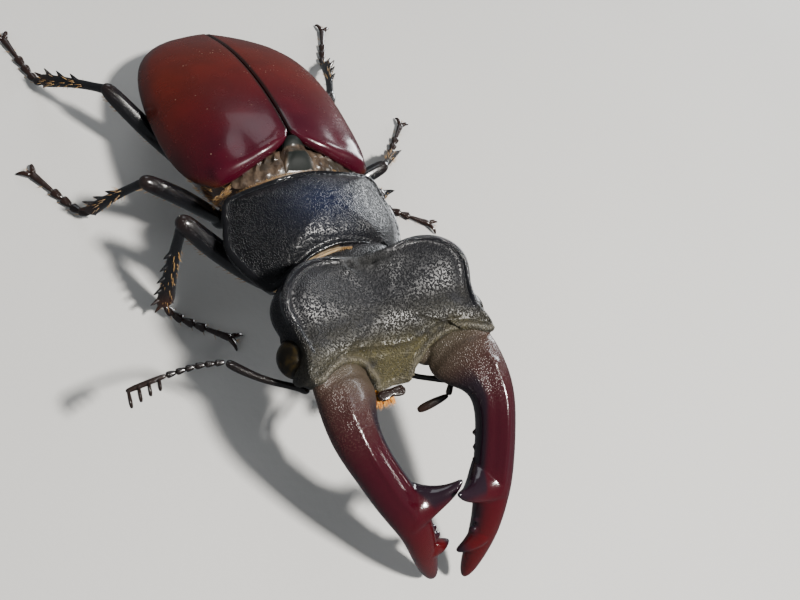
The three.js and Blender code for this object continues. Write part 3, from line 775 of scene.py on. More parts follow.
def membrane_finish():
    """Brown wrinkled skin between the plates, painted darker in the hollows of its wrinkles and paler on
    their crests as painted shade.
    """
    work = Finish("wrinkled_membrane")
    stretched = work.node("Mapping", {"Vector": work.place(), "Scale": (1600.0, 700.0, 1600.0)})
    wrinkles = work.node("TexNoise", {"Vector": stretched.outputs["Vector"], "Scale": 1.0,
                                      "Detail": 5.0, "Roughness": 0.6})
    folds = wrinkles.outputs["Fac"]
    # The colour follows the wrinkles' height: painted shade in their hollows and painted light on their
    # crests.
    tone = work.between(folds, 0.32, 0.68)
    skin = work.mix(tone, (0.024, 0.015, 0.01), (0.1, 0.07, 0.048))
    patch = work.mix(work.between(work.noise(2.0), 0.42, 0.62), skin, (0.03, 0.024, 0.018))
    dark = work.painted("dark")
    colour = work.mix(dark, patch, (0.005, 0.007, 0.006))
    height = work.times(folds, work.minus(1.15, dark))
    rough = work.blend(dark, 0.36, 0.6)
    normal = work.bump(height, 0.1)
    return work.done(colour=colour, roughness=rough, normal=normal,
                     coat=work.times(work.minus(1.0, dark), 0.4), coat_roughness=0.2, specular=0.18)


def fringe_finish(name, colour, paler, rough=0.45):
    """Stiff fine hair, or a dry edge, that turns paler in patches."""
    work = Finish(name)
    tone = work.mix(work.between(work.noise(0.5, 2), 0.3, 0.7), colour, paler)
    return work.done(colour=tone, roughness=rough, normal=work.bump(work.noise(0.05, 2), 0.01),
                     sheen=0.3, sheen_roughness=0.4)


def floor_finish():
    work = Finish("pale_floor")
    tone = work.mix(work.noise(60, 2), (0.5, 0.495, 0.48), (0.55, 0.545, 0.53))
    return work.done(colour=tone, roughness=0.75, normal=work.bump(work.noise(0.8, 3), 0.02))


HEAD_SHELL = head_finish()
PRONOTUM_SHELL = pronotum_finish()
WING_CASE = wing_case_finish()
MANDIBLE_SHELL = mandible_finish()
LEG_SHELL = black_shell_finish("leg_shell", size=0.16, depth=0.02)
BELLY_SHELL = black_shell_finish("belly_shell", (0.02, 0.011, 0.008), (0.09, 0.035, 0.015), size=0.22,
                                 depth=0.02, rough=(0.25, 0.42))
PLATE_SHELL = black_shell_finish("plate_shell", (0.008, 0.009, 0.01), size=0.2, depth=0.015)
FEELER_SHELL = black_shell_finish("feeler_shell", (0.005, 0.004, 0.004), (0.02, 0.009, 0.006), size=0.12,
                                  depth=0.01)
EYE = eye_finish()
MEMBRANE = membrane_finish()
GOLD_HAIR = fringe_finish("golden_hair", (0.28, 0.13, 0.03), (0.5, 0.3, 0.1))
BRUSH_HAIR = fringe_finish("orange_brush_hair", (0.62, 0.2, 0.02), (0.85, 0.42, 0.07))
TAN_EDGE = fringe_finish("tan_edge", (0.3, 0.2, 0.1), (0.5, 0.37, 0.2), rough=0.35)


def placed(piece, slot, material, *nodes, angle=40):
    """Finishes a piece: its material, its ride and the solids that it stands for; the slot is not used."""
    piece.data.materials.clear()
    piece.data.materials.append(material)
    if angle:
        smooth(piece, angle)
    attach(piece, "root")
    if nodes:
        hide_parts(*nodes)


# ------------------------------------------------------------------ wing cases

WING_RIM = [(7.9, 0.9, -3.5), (8.8, 1.6, -4.0), (9.55, 3.2, -4.9), (10.15, 6, -5.7), (10.5, 9, -6.1),
            (10.65, 13, -6.2), (10.45, 17.5, -6.3), (9.55, 21.5, -6.5), (7.9, 24.5, -6.8),
            (5.6, 26.5, -7), (3.1, 27.6, -7.1), (1, 28, -7.1)]
WING_SEAM = [(0.2, 4.2, 0), (0.2, 8, 0), (0.2, 14, -1), (0.2, 20, -3), (0.2, 27.5, -6.5)]
WING_BASE = [(0.9, 3.0, -0.4), (2.0, 2.4, -0.6), (3.4, 1.9, -0.9), (4.8, 1.5, -1.5), (6.2, 1.2, -2.1),
             (7.4, 1.2, -2.8)]
SEAM_GAP = 0.045  # how far each wing case is drawn towards the seam
WING_HALF_WIDTH = 10.7


def wing_case(name, side):
    case = subdivided(cad_copy(f"elytron_{name}", f"wing_case_{name}"), 3)
    rim, seam, base = (to_side(line, side) for line in (WING_RIM, WING_SEAM, WING_BASE))
    points = local_points(case, BODY)
    points[:, 0] -= side * SEAM_GAP * step(0.55, 0.1, np.abs(points[:, 0]))
    put_points(case, BODY, points)
    stroke(case, BODY, rim, 0.3, 0.12, flat=False)
    stroke(case, BODY, seam, 0.24, 0.07, facing=UP)
    stroke(case, BODY, shifted(rim[1:-1], -side * 0.7, 0, 1), 0.5, -0.06, flat=False)
    stroke(case, BODY, shifted(base, 0, 0.35, 0.2), 0.75, 0.3, flat=False)
    swell(case, BODY, (side * 7.0, 3.0, -1.9), (1.6, 2.0, 1.6), 0.22)
    swell(case, BODY, (side * 4.8, 3.4, -0.6), (1.0, 2.2, 2.0), -0.09, facing=UP)
    points = local_points(case, BODY)
    points[:, 2] = points[:, 2].clip(None, 0.0)
    put_points(case, BODY, points)
    x, y, z = points.T
    seam_gap, _ = distance_to(points, seam, True)
    rim_gap, _ = distance_to(points, Path(rim).points, False)
    tint(case, "rear", step(3, 22, y + 6 * (np.abs(x) / WING_HALF_WIDTH) ** 2))
    # Painted shade: darker along the rim and on the lowest part.
    tint(case, "rim", np.maximum(bell(rim_gap, 0.6), step(-7.0, -7.6, z)))
    tint(case, "seam", bell(seam_gap, 0.16))
    placed(case, "wing_case", WING_CASE, f"elytron_{name}")


for name, side in SIDES:
    wing_case(name, side)

# ------------------------------------------------------------------ prothorax

PRONOTUM_EDGE = [(0, -0.55, -1.35), (3.6, -0.6, -1.9), (6.6, -0.65, -2.8), (8.0, -0.95, -3.25),
                 (8.75, -3.1, -4.35), (9.2, -4.9, -5), (8.6, -7.2, -5.3), (7.6, -9, -5.5),
                 (6.9, -10, -5.6), (5.6, -9.7, -4.7), (3.2, -8.9, -3.2), (0, -8.6, -2.4)]
PRONOTUM_CROWN = (0, -4.6, -0.45)
PRONOTUM_WALLS = [(1.004, 1.004, 0.25), (0.985, 0.985, 0.5), (0.94, 0.94, 1.0)]
PROSTERNUM_CENTRE = (0, -4.85)
PROSTERNUM_HALF = (7.9, 4.05)


def pronotum():
    edge = edge_line(PRONOTUM_EDGE, 72)
    shield = cushion("pronotum_shield", PROTHORAX, edge, PRONOTUM_CROWN, (0, -4.6, -2.4),
                     Walls(PRONOTUM_CROWN, PRONOTUM_WALLS), power=2.3, levels=2,
                     upper=(0.97, 0.9, 0.78, 0.6, 0.4, 0.2))

    def inside_edge(share, lift):
        line = [p.lerp(Vector((0, PRONOTUM_CROWN[1], p.z + lift)), share) for p in edge]
        return [*line, line[0]]

    rim = inside_edge(0.02, 0.25)
    stroke(shield, PROTHORAX, rim, 0.2, 0.22, facing=UP, curved=False)
    stroke(shield, PROTHORAX, inside_edge(0.085, 0.4), 0.26, -0.12, facing=UP, curved=False)
    stroke(shield, PROTHORAX, [(0, -1.2, 0), (0, -4.5, 0), (0, -8, 0)], 0.35, -0.05, facing=UP, fade=0.2)
    for _, side in SIDES:
        swell(shield, PROTHORAX, (side * 6.2, -4.9, -2.2), (1.3, 1.1, 3), -0.22, facing=UP)
        swell(shield, PROTHORAX, (side * 3.2, -3.0, -1), (1.2, 0.8, 3), -0.08, facing=UP)
        swell(shield, PROTHORAX, (side * 5.2, -7.6, -2), (2.2, 1.2, 4), 0.12, facing=UP)
    points = local_points(shield, PROTHORAX)
    x, y = points.T[:2]
    tint(shield, "middle", bell(np.hypot(x / 3.6, (y + 4.6) / 2.6), 1))
    rim_gap, _ = distance_to(points, rim, True)
    tint(shield, "bare", bell(rim_gap, 0.3))
    placed(shield, "black_shell", PRONOTUM_SHELL, "pronotum")


def prosternum():
    count = 48
    angles = [2 * math.pi * k / count for k in range(count)]
    (cx, cy), (wide, long) = PROSTERNUM_CENTRE, PROSTERNUM_HALF
    edge = [Vector((cx + wide * math.cos(a), cy + long * math.sin(a), -6.6)) for a in angles]
    chest = cushion("chest", PROTHORAX, edge, (cx, cy, -2.5), (cx, cy, -10.9), None, power=1.6)
    for _, side in SIDES:
        groove = [(side * 0.9, -8.6, -9), (side * 1.1, -6, -11), (side * 0.7, -2, -10)]
        stroke(chest, PROTHORAX, groove, 0.3, -0.18, facing=DOWN)
        swell(chest, PROTHORAX, (side * 2.4, -6.3, -10.4), (1.7, 1.2, 2), -0.35, facing=DOWN)
    swell(chest, PROTHORAX, (0, -5.2, -11), (0.7, 2.2, 2), 0.25, facing=DOWN)
    tint_evenly(chest, "warm", 0)
    placed(chest, "black_shell", PLATE_SHELL, "prosternum")


pronotum()
prosternum()

# ------------------------------------------------------------------ mandibles

SHAFT = [(-0.9, 2.2, -0.4), (-0.75, 0, 0.3), (0.37, -2.7, 1), (0.75, -5, 1.05), (0.35, -6.8, 0.5),
         (-0.05, -8.3, 0.1), (-0.7, -10.2, -0.7), (-1.35, -12, -1.3), (-2, -14, -2.3), (-2.5, -16, -4.1),
         (-3.15, -17.8, -6.4), (-4, -19.7, -8.7)]
SHAFT_STATIONS = [(0, 1.3, 0.7, -10), (0.045, 2.4, 1.15, -22), (0.09, 3.55, 1.5, -25),
                  (0.15, 3.1, 1.65, -22), (0.21, 2.55, 1.75, -15), (0.29, 2.1, 1.68), (0.4, 1.85, 1.6),
                  (0.5, 1.95, 1.5), (0.6, 1.85, 1.42), (0.68, 1.6, 1.28), (0.78, 1.4, 1.12),
                  (0.89, 1.1, 0.92), (0.96, 0.75, 0.68), (0.99, 0.4, 0.38), (1, 0.2, 0.2)]
TOOTH = [(-0.9, -11.7, -1.4), (-3.4, -12.3, -0.9), (-5.3, -12.4, 0.2), (-6.45, -12, 0.9)]
TOOTH_STATIONS = [(0, 2.7, 1.3), (0.2, 2.2, 1.2), (0.4, 1.5, 1.0), (0.6, 0.98, 0.78), (0.8, 0.6, 0.5),
                  (0.95, 0.28, 0.26), (1, 0.1, 0.1)]
HEEL = [(-0.8, 0.9, -0.1), (-2.8, 0.6, -1.2), (-4.1, 0.75, -1.8)]
HEEL_STATIONS = [(0, 1.5, 1.0), (0.5, 1.5, 1.0), (0.85, 1.1, 0.85), (1, 0.4, 0.4)]
PRONG = [(-2.7, -16.1, -4), (-4.2, -16.8, -4.7), (-5.5, -16.9, -5.2)]
PRONG_STATIONS = [(0, 1.1, 0.95), (0.3, 0.95, 0.8), (0.6, 0.66, 0.6), (0.85, 0.4, 0.38),
                  (0.97, 0.2, 0.2), (1, 0.1, 0.1)]
DENTICLES = [(-3.3, -13.9, -2.2), (-3.7, -14.8, -2.9), (-4.05, -15.6, -3.6)]
SMALL_DENTICLES = [(-2.1, -8.9, -0.8), (-2.5, -9.9, -1.0), (-1.75, -7.7, -0.5)]
KEEL = [(0.3, -0.8, 0), (0.7, -2.2, 0), (0.85, -4.4, 0), (0.7, -6.4, 0), (0.2, -8.5, 0),
        (-0.45, -10.6, 0), (-1.2, -12.4, 0), (-2, -14.2, 0)]
TOOTH_CREST = [(-2.6, -10.6, 0), (-3.6, -12.0, 0), (-5.6, -12.3, 0)]
ROOT_RIDGE = [(-4.1, 0.2, 0), (-2.4, 1.0, 0), (-0.4, 1.3, 0), (1.6, 0.9, 0)]
ROOT_GROOVE = [(-3.6, -1.0, 0), (-2.0, 0.1, 0), (0, 0.4, 0), (2.0, -0.1, 0)]
JAW_VOXEL = 0.09


def mandible(name, side):
    region = mandible_frame(name, side)
    limbs = [drawn_limb("shaft", region, SHAFT, SHAFT_STATIONS, sides=16)]
    for line, stations in ((TOOTH, TOOTH_STATIONS), (PRONG, PRONG_STATIONS), (HEEL, HEEL_STATIONS)):
        limbs.append(drawn_limb("limb", region, line, stations))
    for place in shifted(DENTICLES, 0.2, 0, 0):
        limbs.append(ball("bead", region, place, (0.5, 0.36, 0.36), 16, 10))
    for place in SMALL_DENTICLES:
        limbs.append(ball("bead", region, place, (0.3, 0.26, 0.3), 12, 8))
    jaw = fused(join(f"jaw_{name}", limbs), JAW_VOXEL, softening=4)
    stroke(jaw, region, KEEL, 1.1, 0.16, facing=UP, fade=0.15)
    stroke(jaw, region, KEEL, 0.3, 0.14, facing=UP, fade=0.15)
    stroke(jaw, region, shifted(KEEL[1:-1], -1.15, 0, 0), 0.5, -0.12, facing=UP, fade=0.15)
    stroke(jaw, region, TOOTH_CREST, 0.5, 0.1, facing=UP, fade=0.3)
    stroke(jaw, region, ROOT_RIDGE, 0.35, 0.14, facing=UP)
    stroke(jaw, region, ROOT_GROOVE, 0.4, -0.12, facing=UP)
    softened(jaw, 4)
    swell(jaw, region, (1.0, -2.7, 2.6), (0.45, 0.45, 0.8), 0.16)
    points = local_points(jaw, region)
    x, y = points.T[:2]
    line = Path(SHAFT).points
    gap, share = distance_to(points, line, False)
    tint(jaw, "reach", share)
    tooth_gap, tooth_share = distance_to(points, Path(TOOTH).points, False)
    tooth_tip = bell(tooth_gap, 1.2) * step(0.6, 1.0, tooth_share) * step(1.2, 2.4, gap)
    prong_gap, prong_share = distance_to(points, Path(PRONG).points, False)
    prong_tip = bell(prong_gap, 1.0) * step(0.4, 0.85, prong_share)
    centre_x = np.interp(-y, [-p.y for p in line], [p.x for p in line])
    edge = step(-1.3, -1.75, x - centre_x) * step(-1.5, -4, y) * step(-13.5, -12.5, y)
    bead_gap, _ = distance_to(points, DENTICLES, False)
    tint(jaw, "teeth", np.maximum.reduce([tooth_tip, prong_tip, edge * 0.8, bell(bead_gap, 0.55)]))
    placed(jaw, "mandible_shell", MANDIBLE_SHELL, f"mandible_{name}", angle=60)


for name, side in SIDES:
    mandible(name, side)

# ------------------------------------------------------------------ head

HEAD_EDGE = [(0, -1.5, 1.3), (2.7, -1.35, 2.1), (5.2, -1, 2.1), (7.5, -1.7, 2.5), (9.2, -3.6, 2.7),
             (9.4, -5.2, 2.5), (8.9, -7.1, 2.3), (8.55, -9.1, 2.6), (9.3, -11.35, 2.95),
             (8.5, -11.55, 2.7), (7.2, -10.8, 2.1), (5.3, -10.3, 1.6), (3.2, -10.8, 0.6),
             (2.3, -12.1, -1.1), (1.75, -13.35, -2.35), (0, -13.2, -2.35)]
HEAD_CROWN = (0, -6.8, 2.0)
HEAD_KEEL = -5
HEAD_WALLS = [(1.0, 1.0, 0.07), (1.0, 0.985, 0.14), (1.055, 0.95, 0.28), (1.05, 0.9, 0.45)]
FRONTAL_RIDGE = [(-6.6, -9.9, 0), (-4.9, -9.6, 0), (-3.5, -9.6, 0), (-1.7, -9.8, 0), (0, -10.05, 0),
                 (1.7, -10.1, 0), (2.8, -9.85, 0), (3.8, -9.5, 0), (5.3, -9.35, 0), (6.8, -9.6, 0)]
CLYPEUS_EDGE = [(-1.7, -13.0, 0), (-0.8, -12.85, 0), (0, -12.8, 0), (0.8, -12.85, 0), (1.7, -13.0, 0)]
REAR_RIDGE = [(-3.4, -2.9, 0), (-1.5, -2.5, 0), (0.4, -2.6, 0), (2.4, -2.9, 0)]
LOBE_RIDGE = [(2.2, -1.75, 0), (4.6, -1.4, 0), (6.9, -1.9, 0), (8.5, -3.2, 0), (8.95, -4.7, 0),
              (8.6, -6.6, 0), (8.2, -8.9, 0)]
EYE_SOCKET = [(9.6, -6.9, 0.4), (9.6, -7.4, 1.2), (9.6, -8.7, 1.6), (9.6, -10.0, 1.2),
              (9.4, -10.6, 0.3), (9.2, -10.2, -1.0), (9.0, -8.7, -1.6), (9.0, -7.3, -1.1),
              (9.4, -6.9, 0)]
SOCKET_RIM = [(1.75, -13.0, 0), (1.95, -12.2, 0), (2.5, -11.6, 0), (3.3, -10.75, 0), (5.2, -10.2, 0),
              (7.1, -10.6, 0), (8.4, -11.3, 0), (9.1, -11.3, 0)]
EYE_CENTRE = (8.7, -8.7, 0)
EYE_RADII = (1.85, 1.85, 1.65)
SKULL_VOXEL = 0.11
REAR_WRINKLES = 26


def head():
    skull = cushion("skull", HEAD, edge_line(HEAD_EDGE, 84), HEAD_CROWN, (0, -6.8, HEAD_KEEL),
                    Walls(HEAD_CROWN, HEAD_WALLS, keel=HEAD_KEEL), levels=2,
                    upper=(0.96, 0.88, 0.74, 0.55, 0.35, 0.18))
    neck = drawn_limb("neck", HEAD, [(0, -3, -2.4), (0, 0.5, -3.3), (0, 3.8, -4.3)],
                      [(0, 5, 3), (0.4, 4.8, 2.5), (0.8, 4.5, 2.1), (1, 3.6, 1.5)], sides=20)
    skull = fused(join("skull", [skull, neck]), SKULL_VOXEL, softening=2)
    swell(skull, HEAD, (0, -4.6, 2), (3.2, 2.6, 3), -0.3, facing=UP)
    swell(skull, HEAD, (0, -12.0, -0.8), (2.0, 1.2, 3), -0.25, facing=UP)
    stroke(skull, HEAD, FRONTAL_RIDGE, 0.17, 0.2, facing=UP, fade=0.08)
    stroke(skull, HEAD, shifted(FRONTAL_RIDGE, 0, -0.55, 0), 0.4, -0.2, facing=UP, fade=0.1)
    stroke(skull, HEAD, CLYPEUS_EDGE, 0.16, 0.12, facing=UP)
    inner_lobe = [(x * 0.93, y * 0.95 - 0.35, z) for x, y, z in LOBE_RIDGE]
    for _, side in SIDES:
        half = on_side(HEAD, side)
        stroke(skull, half, LOBE_RIDGE, 0.2, 0.24, facing=UP, fade=0.06)
        stroke(skull, half, inner_lobe, 0.5, -0.2, facing=UP, fade=0.1)
        stroke(skull, half, SOCKET_RIM, 0.24, 0.42, facing=(0, -0.5, 1), fade=0.04)
        stroke(skull, half, shifted(SOCKET_RIM[1:], 0.1, 0.62, 0), 0.36, -0.2, facing=UP, fade=0.1)
        swell(skull, half, (9.2, -9.4, 1.9), (1.3, 1.7, 1.2), 0.45, facing=(1, 0, 0.3))
        stroke(skull, half, EYE_SOCKET, 0.35, 0.3, flat=False)
        swell(skull, half, (6.4, -4.2, 2.6), (2.4, 2.2, 2), 0.22, facing=UP)
        swell(skull, half, (1.6, -13.1, -2.2), (0.3, 0.35, 0.8), 0.22, facing=UP)
        swell(skull, half, (5.8, -8.2, 2.2), (2.2, 1.0, 2), 0.14, facing=UP)
    stroke(skull, HEAD, REAR_RIDGE, 0.28, 0.12, facing=UP, fade=0.2)
    for _ in range(REAR_WRINKLES):
        place = (CHANCE.uniform(-2.4, 2.4), CHANCE.uniform(-3.0, -1.5), 1.7)
        size = CHANCE.uniform(0.22, 0.42)
        swell(skull, HEAD, place, (size, size * 0.7, 1.5), CHANCE.choice((-0.2, -0.14, 0.12)), facing=UP)
    softened(skull, 2)
    paint_head(skull)
    placed(skull, "head_shell", HEAD_SHELL, "head", angle=70)


def paint_head(skull):
    """Masks for the olive front, the rear hollow that is painted dark as shade, the bare black ridges and
    the pale rims.
    """
    points = local_points(skull, HEAD)
    up = local_normals(skull, HEAD)[:, 2]
    x, y = points.T[:2]
    tint(skull, "front", step(-8.6, -11.2, y) * step(9.5, 4, np.abs(x)) + 0.25 * step(-5, -10, y))
    ridge = np.zeros(len(points))
    pale = 0.6 * bell(np.hypot((y + 13.1) / 0.3, x / 1.9), 1)
    for _, side in SIDES:
        gap, _ = distance_to(points, to_side(Path(LOBE_RIDGE).points, side), True)
        ridge = np.maximum(ridge, bell(gap, 0.22))
        gap, _ = distance_to(points, to_side(Path(SOCKET_RIM).points, side), True)
        pale = np.maximum(pale, bell(gap, 0.26) * step(-0.1, 0.2, up))
    # Painted shade: the mask that darkens the rear hollow.
    tint(skull, "hollow", bell(np.hypot(x / 2.9, (y + 2.2) / 0.9), 1))
    tint(skull, "bare", np.maximum(ridge, step(0.35, 0.0, up) * step(-8, -5, y)))
    tint(skull, "pale", pale)


def eyes():
    for name, side in SIDES:
        eye = ball(f"faceted_eye_{name}", on_side(HEAD, side), EYE_CENTRE, EYE_RADII, 40, 28)
        placed(eye, "eye", EYE, f"eye_{name}", angle=80)


head()
eyes()

# ------------------------------------------------------------------ mouth and feelers

LIP_EDGE = [(0, -13.3, -3.1), (1.3, -13.3, -3.1), (1.5, -13.9, -3.1), (1.1, -14.3, -3.05),
            (0, -14.1, -3.1)]
LIP_CROWN = (0, -13.85, -2.95)
CHIN_EDGE = [(0, -8.4, -4.4), (1.8, -8.6, -4.4), (2.6, -10.4, -4.2), (2.2, -11.9, -3.7), (0, -12.4, -3.4)]
BRUSH_CORE = [(-0.5, -13.0, -4.0), (-0.8, -13.7, -4.1), (-1.0, -14.2, -4.1)]
BRUSH_HAIRS = 260


def mouth():
    lip = cushion("upper_lip", HEAD, edge_line(LIP_EDGE, 24), LIP_CROWN, (0, -13.85, -3.5),
                  Walls(LIP_CROWN, [(1, 1, 0.3)]), levels=2, upper=(0.7, 0.4), lower=(0.6,))
    tint_evenly(lip, "warm", 0.3)
    placed(lip, "head_shell", LEG_SHELL, "labrum")
    chin = cushion("chin_plate", HEAD, edge_line(CHIN_EDGE, 32), (0, -10.4, -3.4), (0, -10.4, -5.0), None,
                   levels=2, upper=(0.7,), lower=(0.8, 0.5))
    tint_evenly(chin, "warm", 0.3)
    placed(chin, "head_shell", BELLY_SHELL)
    core = drawn_limb("brush_core", HEAD, BRUSH_CORE,
                      [(0, 0.7, 0.3), (0.4, 0.8, 0.34), (0.85, 0.6, 0.25), (1, 0.3, 0.15)], sides=10)
    placed(core, "brush", BRUSH_HAIR)
    roots = []
    for _ in range(BRUSH_HAIRS):
        spread, depth = CHANCE.uniform(-1, 1), CHANCE.uniform(-1, 1)
        place = (-0.7 + 0.75 * spread, -13.35 - 0.3 * CHANCE.random(), -4.05 + 0.22 * depth)
        direction = (0.55 * spread - 0.12, -1, 0.22 * depth)
        spot = (0.5 + 0.4 * spread, 0.5 + 0.4 * depth)
        roots.append((place, direction, CHANCE.uniform(1.0, 1.5), 0.12, spot))
    brush = hair("mouth_brush_hair", roots, HEAD, thickness=0.05)
    placed(brush, "brush", BRUSH_HAIR, "mouth_brush", angle=0)


PALPS = {
    "left": [(2.3, -12.7, -3.3), (3.6, -13.5, -2.6), (5.7, -14.5, -1.9), (4.95, -15.7, -2.2),
             (1.95, -16.05, -3.4)],
    "right": [(-2.3, -12.7, -3.4), (-3.6, -13.6, -3.1), (-5.2, -14.3, -3.2), (-6, -15.3, -3.5),
              (-6.2, -18.2, -4)],
}
PALP_STATIONS = (
    [(0, 0.3, 0.3), (0.3, 0.3, 0.28), (0.6, 0.24, 0.24), (0.9, 0.34, 0.34), (0.98, 0.28, 0.28),
     (1, 0.1, 0.1)],
    [(0, 0.18, 0.18), (0.15, 0.26, 0.26), (0.8, 0.33, 0.33), (0.97, 0.26, 0.26), (1, 0.1, 0.1)],
    [(0, 0.16, 0.16), (0.1, 0.27, 0.26), (0.45, 0.4, 0.36), (0.8, 0.42, 0.38), (0.96, 0.3, 0.28),
     (1, 0.12, 0.12)],
)


def palp(name):
    root, bow, knee, bend, tip = PALPS[name]
    inward = (root[0] * 0.55, root[1] + 1.6, root[2] - 0.35)
    lines = ([inward, root, bow, knee], [knee, bend], [bend, tip])
    joints = [drawn_limb("joint", HEAD, line, stations, sides=10)
              for line, stations in zip(lines, PALP_STATIONS)]
    made = join(f"jaw_feeler_{name}", joints)
    gap, _ = distance_to(local_points(made, HEAD), [tip, tip], False)
    tint(made, "warm", bell(gap, 1.6))
    placed(made, "feeler", FEELER_SHELL, f"maxillary_palp_{name}")


# For each antenna: its shaft, its chain of beads, its club's stem and the way that the leaves hang.
ANTENNAE = {
    "left": (
        [(8.1, -11.5, -1.3), (8.9, -10.2, -2.8), (8.9, -7.4, -4.3), (7.8, -4.9, -5.4)],
        [(7.7, -5.0, -5.6), (6.3, -6.9, -6.5), (5.1, -9.15, -6.9)],
        [(5.1, -9.2, -6.92), (4.6, -10.8, -7), (4.2, -12.6, -7)],
        (-0.8, -0.1, -0.5),
    ),
    "right": (
        [(-8.1, -11.5, -1.6), (-9.5, -10.5, -1.65), (-11.6, -9.4, -1.8), (-14.1, -7.02, -1.88)],
        [(-14.2, -6.98, -1.9), (-16.4, -6.6, -2.3), (-18.9, -6.6, -2.67)],
        [(-18.9, -6.6, -2.67), (-20.6, -6.7, -2.9), (-22.2, -6.9, -3.15)],
        (0.1, -1, -0.1),
    ),
}
SCAPE_STATIONS = [(0, 0.16, 0.16), (0.03, 0.36, 0.36), (0.08, 0.4, 0.4), (0.13, 0.28, 0.28),
                  (0.5, 0.3, 0.28), (0.8, 0.38, 0.34), (0.95, 0.4, 0.36), (0.99, 0.28, 0.26), (1, 0.1, 0.1)]
BEAD_STATIONS = [(0, 0.14, 0.14), (0.12, 0.2, 0.2), (0.7, 0.3, 0.28), (0.92, 0.27, 0.26), (1, 0.12, 0.12)]
STEM_STATIONS = [(0, 0.14, 0.14), (0.06, 0.24, 0.24), (0.9, 0.26, 0.26), (1, 0.12, 0.12)]
LEAF_STATIONS = [(0, 0.3, 0.12), (0.3, 0.46, 0.15), (0.7, 0.55, 0.17), (0.95, 0.4, 0.13), (1, 0.12, 0.06)]
CHAIN_BEADS = 6
LEAF_SHARES = (0.18, 0.43, 0.68, 0.93)


def antenna(name):
    shaft_line, chain_line, club_line, leaf_way = ANTENNAE[name]
    scape = drawn_limb(f"antenna_shaft_{name}", HEAD, shaft_line, SCAPE_STATIONS)
    tint_evenly(scape, "warm", 0.1)
    placed(scape, "feeler", FEELER_SHELL, f"antenna_scape_{name}")
    chain = Path(chain_line)
    beads = []
    for k in range(CHAIN_BEADS):
        ends = [chain.at((k + share) / CHAIN_BEADS) for share in (0.0, 0.5, 1.03)]
        beads.append(drawn_limb("bead", HEAD, ends, BEAD_STATIONS, sides=8))
    links = join(f"antenna_chain_{name}", beads)
    tint_evenly(links, "warm", 0.15)
    placed(links, "feeler", FEELER_SHELL, f"antenna_funicle_{name}")
    stem = Path(club_line)
    lean = Vector(leaf_way).normalized()
    leaves = [drawn_limb("stem", HEAD, club_line, STEM_STATIONS, sides=8)]
    for k, share in enumerate(LEAF_SHARES):
        along = stem.along(share)
        root = stem.at(share) - lean * 0.1
        tip = stem.at(share) + lean * (1.05 + 0.13 * k) + along * 0.25
        leaf = [root, root.lerp(tip, 0.5), tip]
        leaves.append(drawn_limb("leaf", HEAD, leaf, LEAF_STATIONS, up=along, sides=10))
    club = join(f"antenna_club_plates_{name}", leaves)
    tint_evenly(club, "warm", 0.6)
    placed(club, "feeler", FEELER_SHELL, f"antenna_club_{name}")


mouth()
for name, _ in SIDES:
    palp(name)
    antenna(name)

# ------------------------------------------------------------------ legs

# Hips are in the frame of the ring of the body that carries them; the rest is on the floor's frame:
# where the knee is, where the shin ends, the foot's reach from there along the floor, and then the
# thigh's girth and its bow upwards.
LEGS = {
    "fore_left": (PROTHORAX, (3.2, -6.3, -11.1), (10.7, -0.3, 9.5), (15.2, 3.5, 2), (7, -4.2), 1, -0.4),
    "fore_right": (PROTHORAX, (-3.2, -6.3, -11.1), (-12.2, -2.7, 12), (-12.85, -6.05, 2.1),
                   (6.4, -4.6), 1, -0.7),
    "mid_left": (BODY, (5, 3.2, -11.4), (14.2, 4.25, 7.5), (19.4, 9.4, 2), (5, 6.4), 0.85, 0.5),
    "mid_right": (BODY, (-5, 3.2, -11.4), (-13.8, 3.1, 10), (-17.3, 5.5, 2), (-4.6, 6.8), 0.85, 0.5),
    "hind_left": (BODY, (5.5, 10, -11.6), (12.5, 16.5, 5.5), (15.8, 24.4, 1.9), (3, 8.2), 0.9, -0.3),
    "hind_right": (BODY, (-5.5, 10, -11.6), (-13.9, 16.7, 7.5), (-18.4, 22.4, 2), (-2.8, 8.2), 0.9, -0.3),
}
FOOT_HEIGHT = 0.46
THIGH_STATIONS = [(0, 0.35, 0.35), (0.03, 0.6, 0.6), (0.1, 0.86, 0.82), (0.3, 1.04, 1.0),
                  (0.6, 1.08, 1.06), (0.82, 0.98, 0.98), (0.92, 0.92, 0.92), (0.975, 0.7, 0.72),
                  (1, 0.3, 0.3)]
THIGH_HAIRS = 90
SHIN_BOW = 0.25
SHIN_VOXEL = 0.075
SHIN_THORNS = {True: (0.32, 0.46, 0.6, 0.74, 0.87), False: (0.42, 0.62, 0.8)}  # fore legs, the others
SHIN_HAIRS = {True: 70, False: 46}
FOOT_JOINTS = ((0, 0.165), (0.16, 0.325), (0.32, 0.485), (0.48, 0.645), (0.64, 1.0))
JOINT_STATIONS = [(0, 0.16, 0.16), (0.12, 0.27, 0.27), (0.6, 0.44, 0.42), (0.88, 0.5, 0.46),
                  (0.98, 0.32, 0.3), (1, 0.12, 0.12)]
LAST_JOINT_STATIONS = [(0, 0.16, 0.16), (0.08, 0.24, 0.24), (0.6, 0.3, 0.32), (0.88, 0.42, 0.44),
                       (0.98, 0.3, 0.3), (1, 0.12, 0.12)]
CLAW_STATIONS = [(0, 0.3, 0.3), (0.3, 0.26, 0.26), (0.65, 0.19, 0.19), (0.9, 0.11, 0.11),
                 (1, 0.05, 0.05)]
PAD_STATIONS = [(0, 0.1, 0.1), (0.6, 0.1, 0.09), (1, 0.05, 0.05)]


def sized(stations, girth):
    return [(share, width * girth, height * girth) for share, width, height in stations]


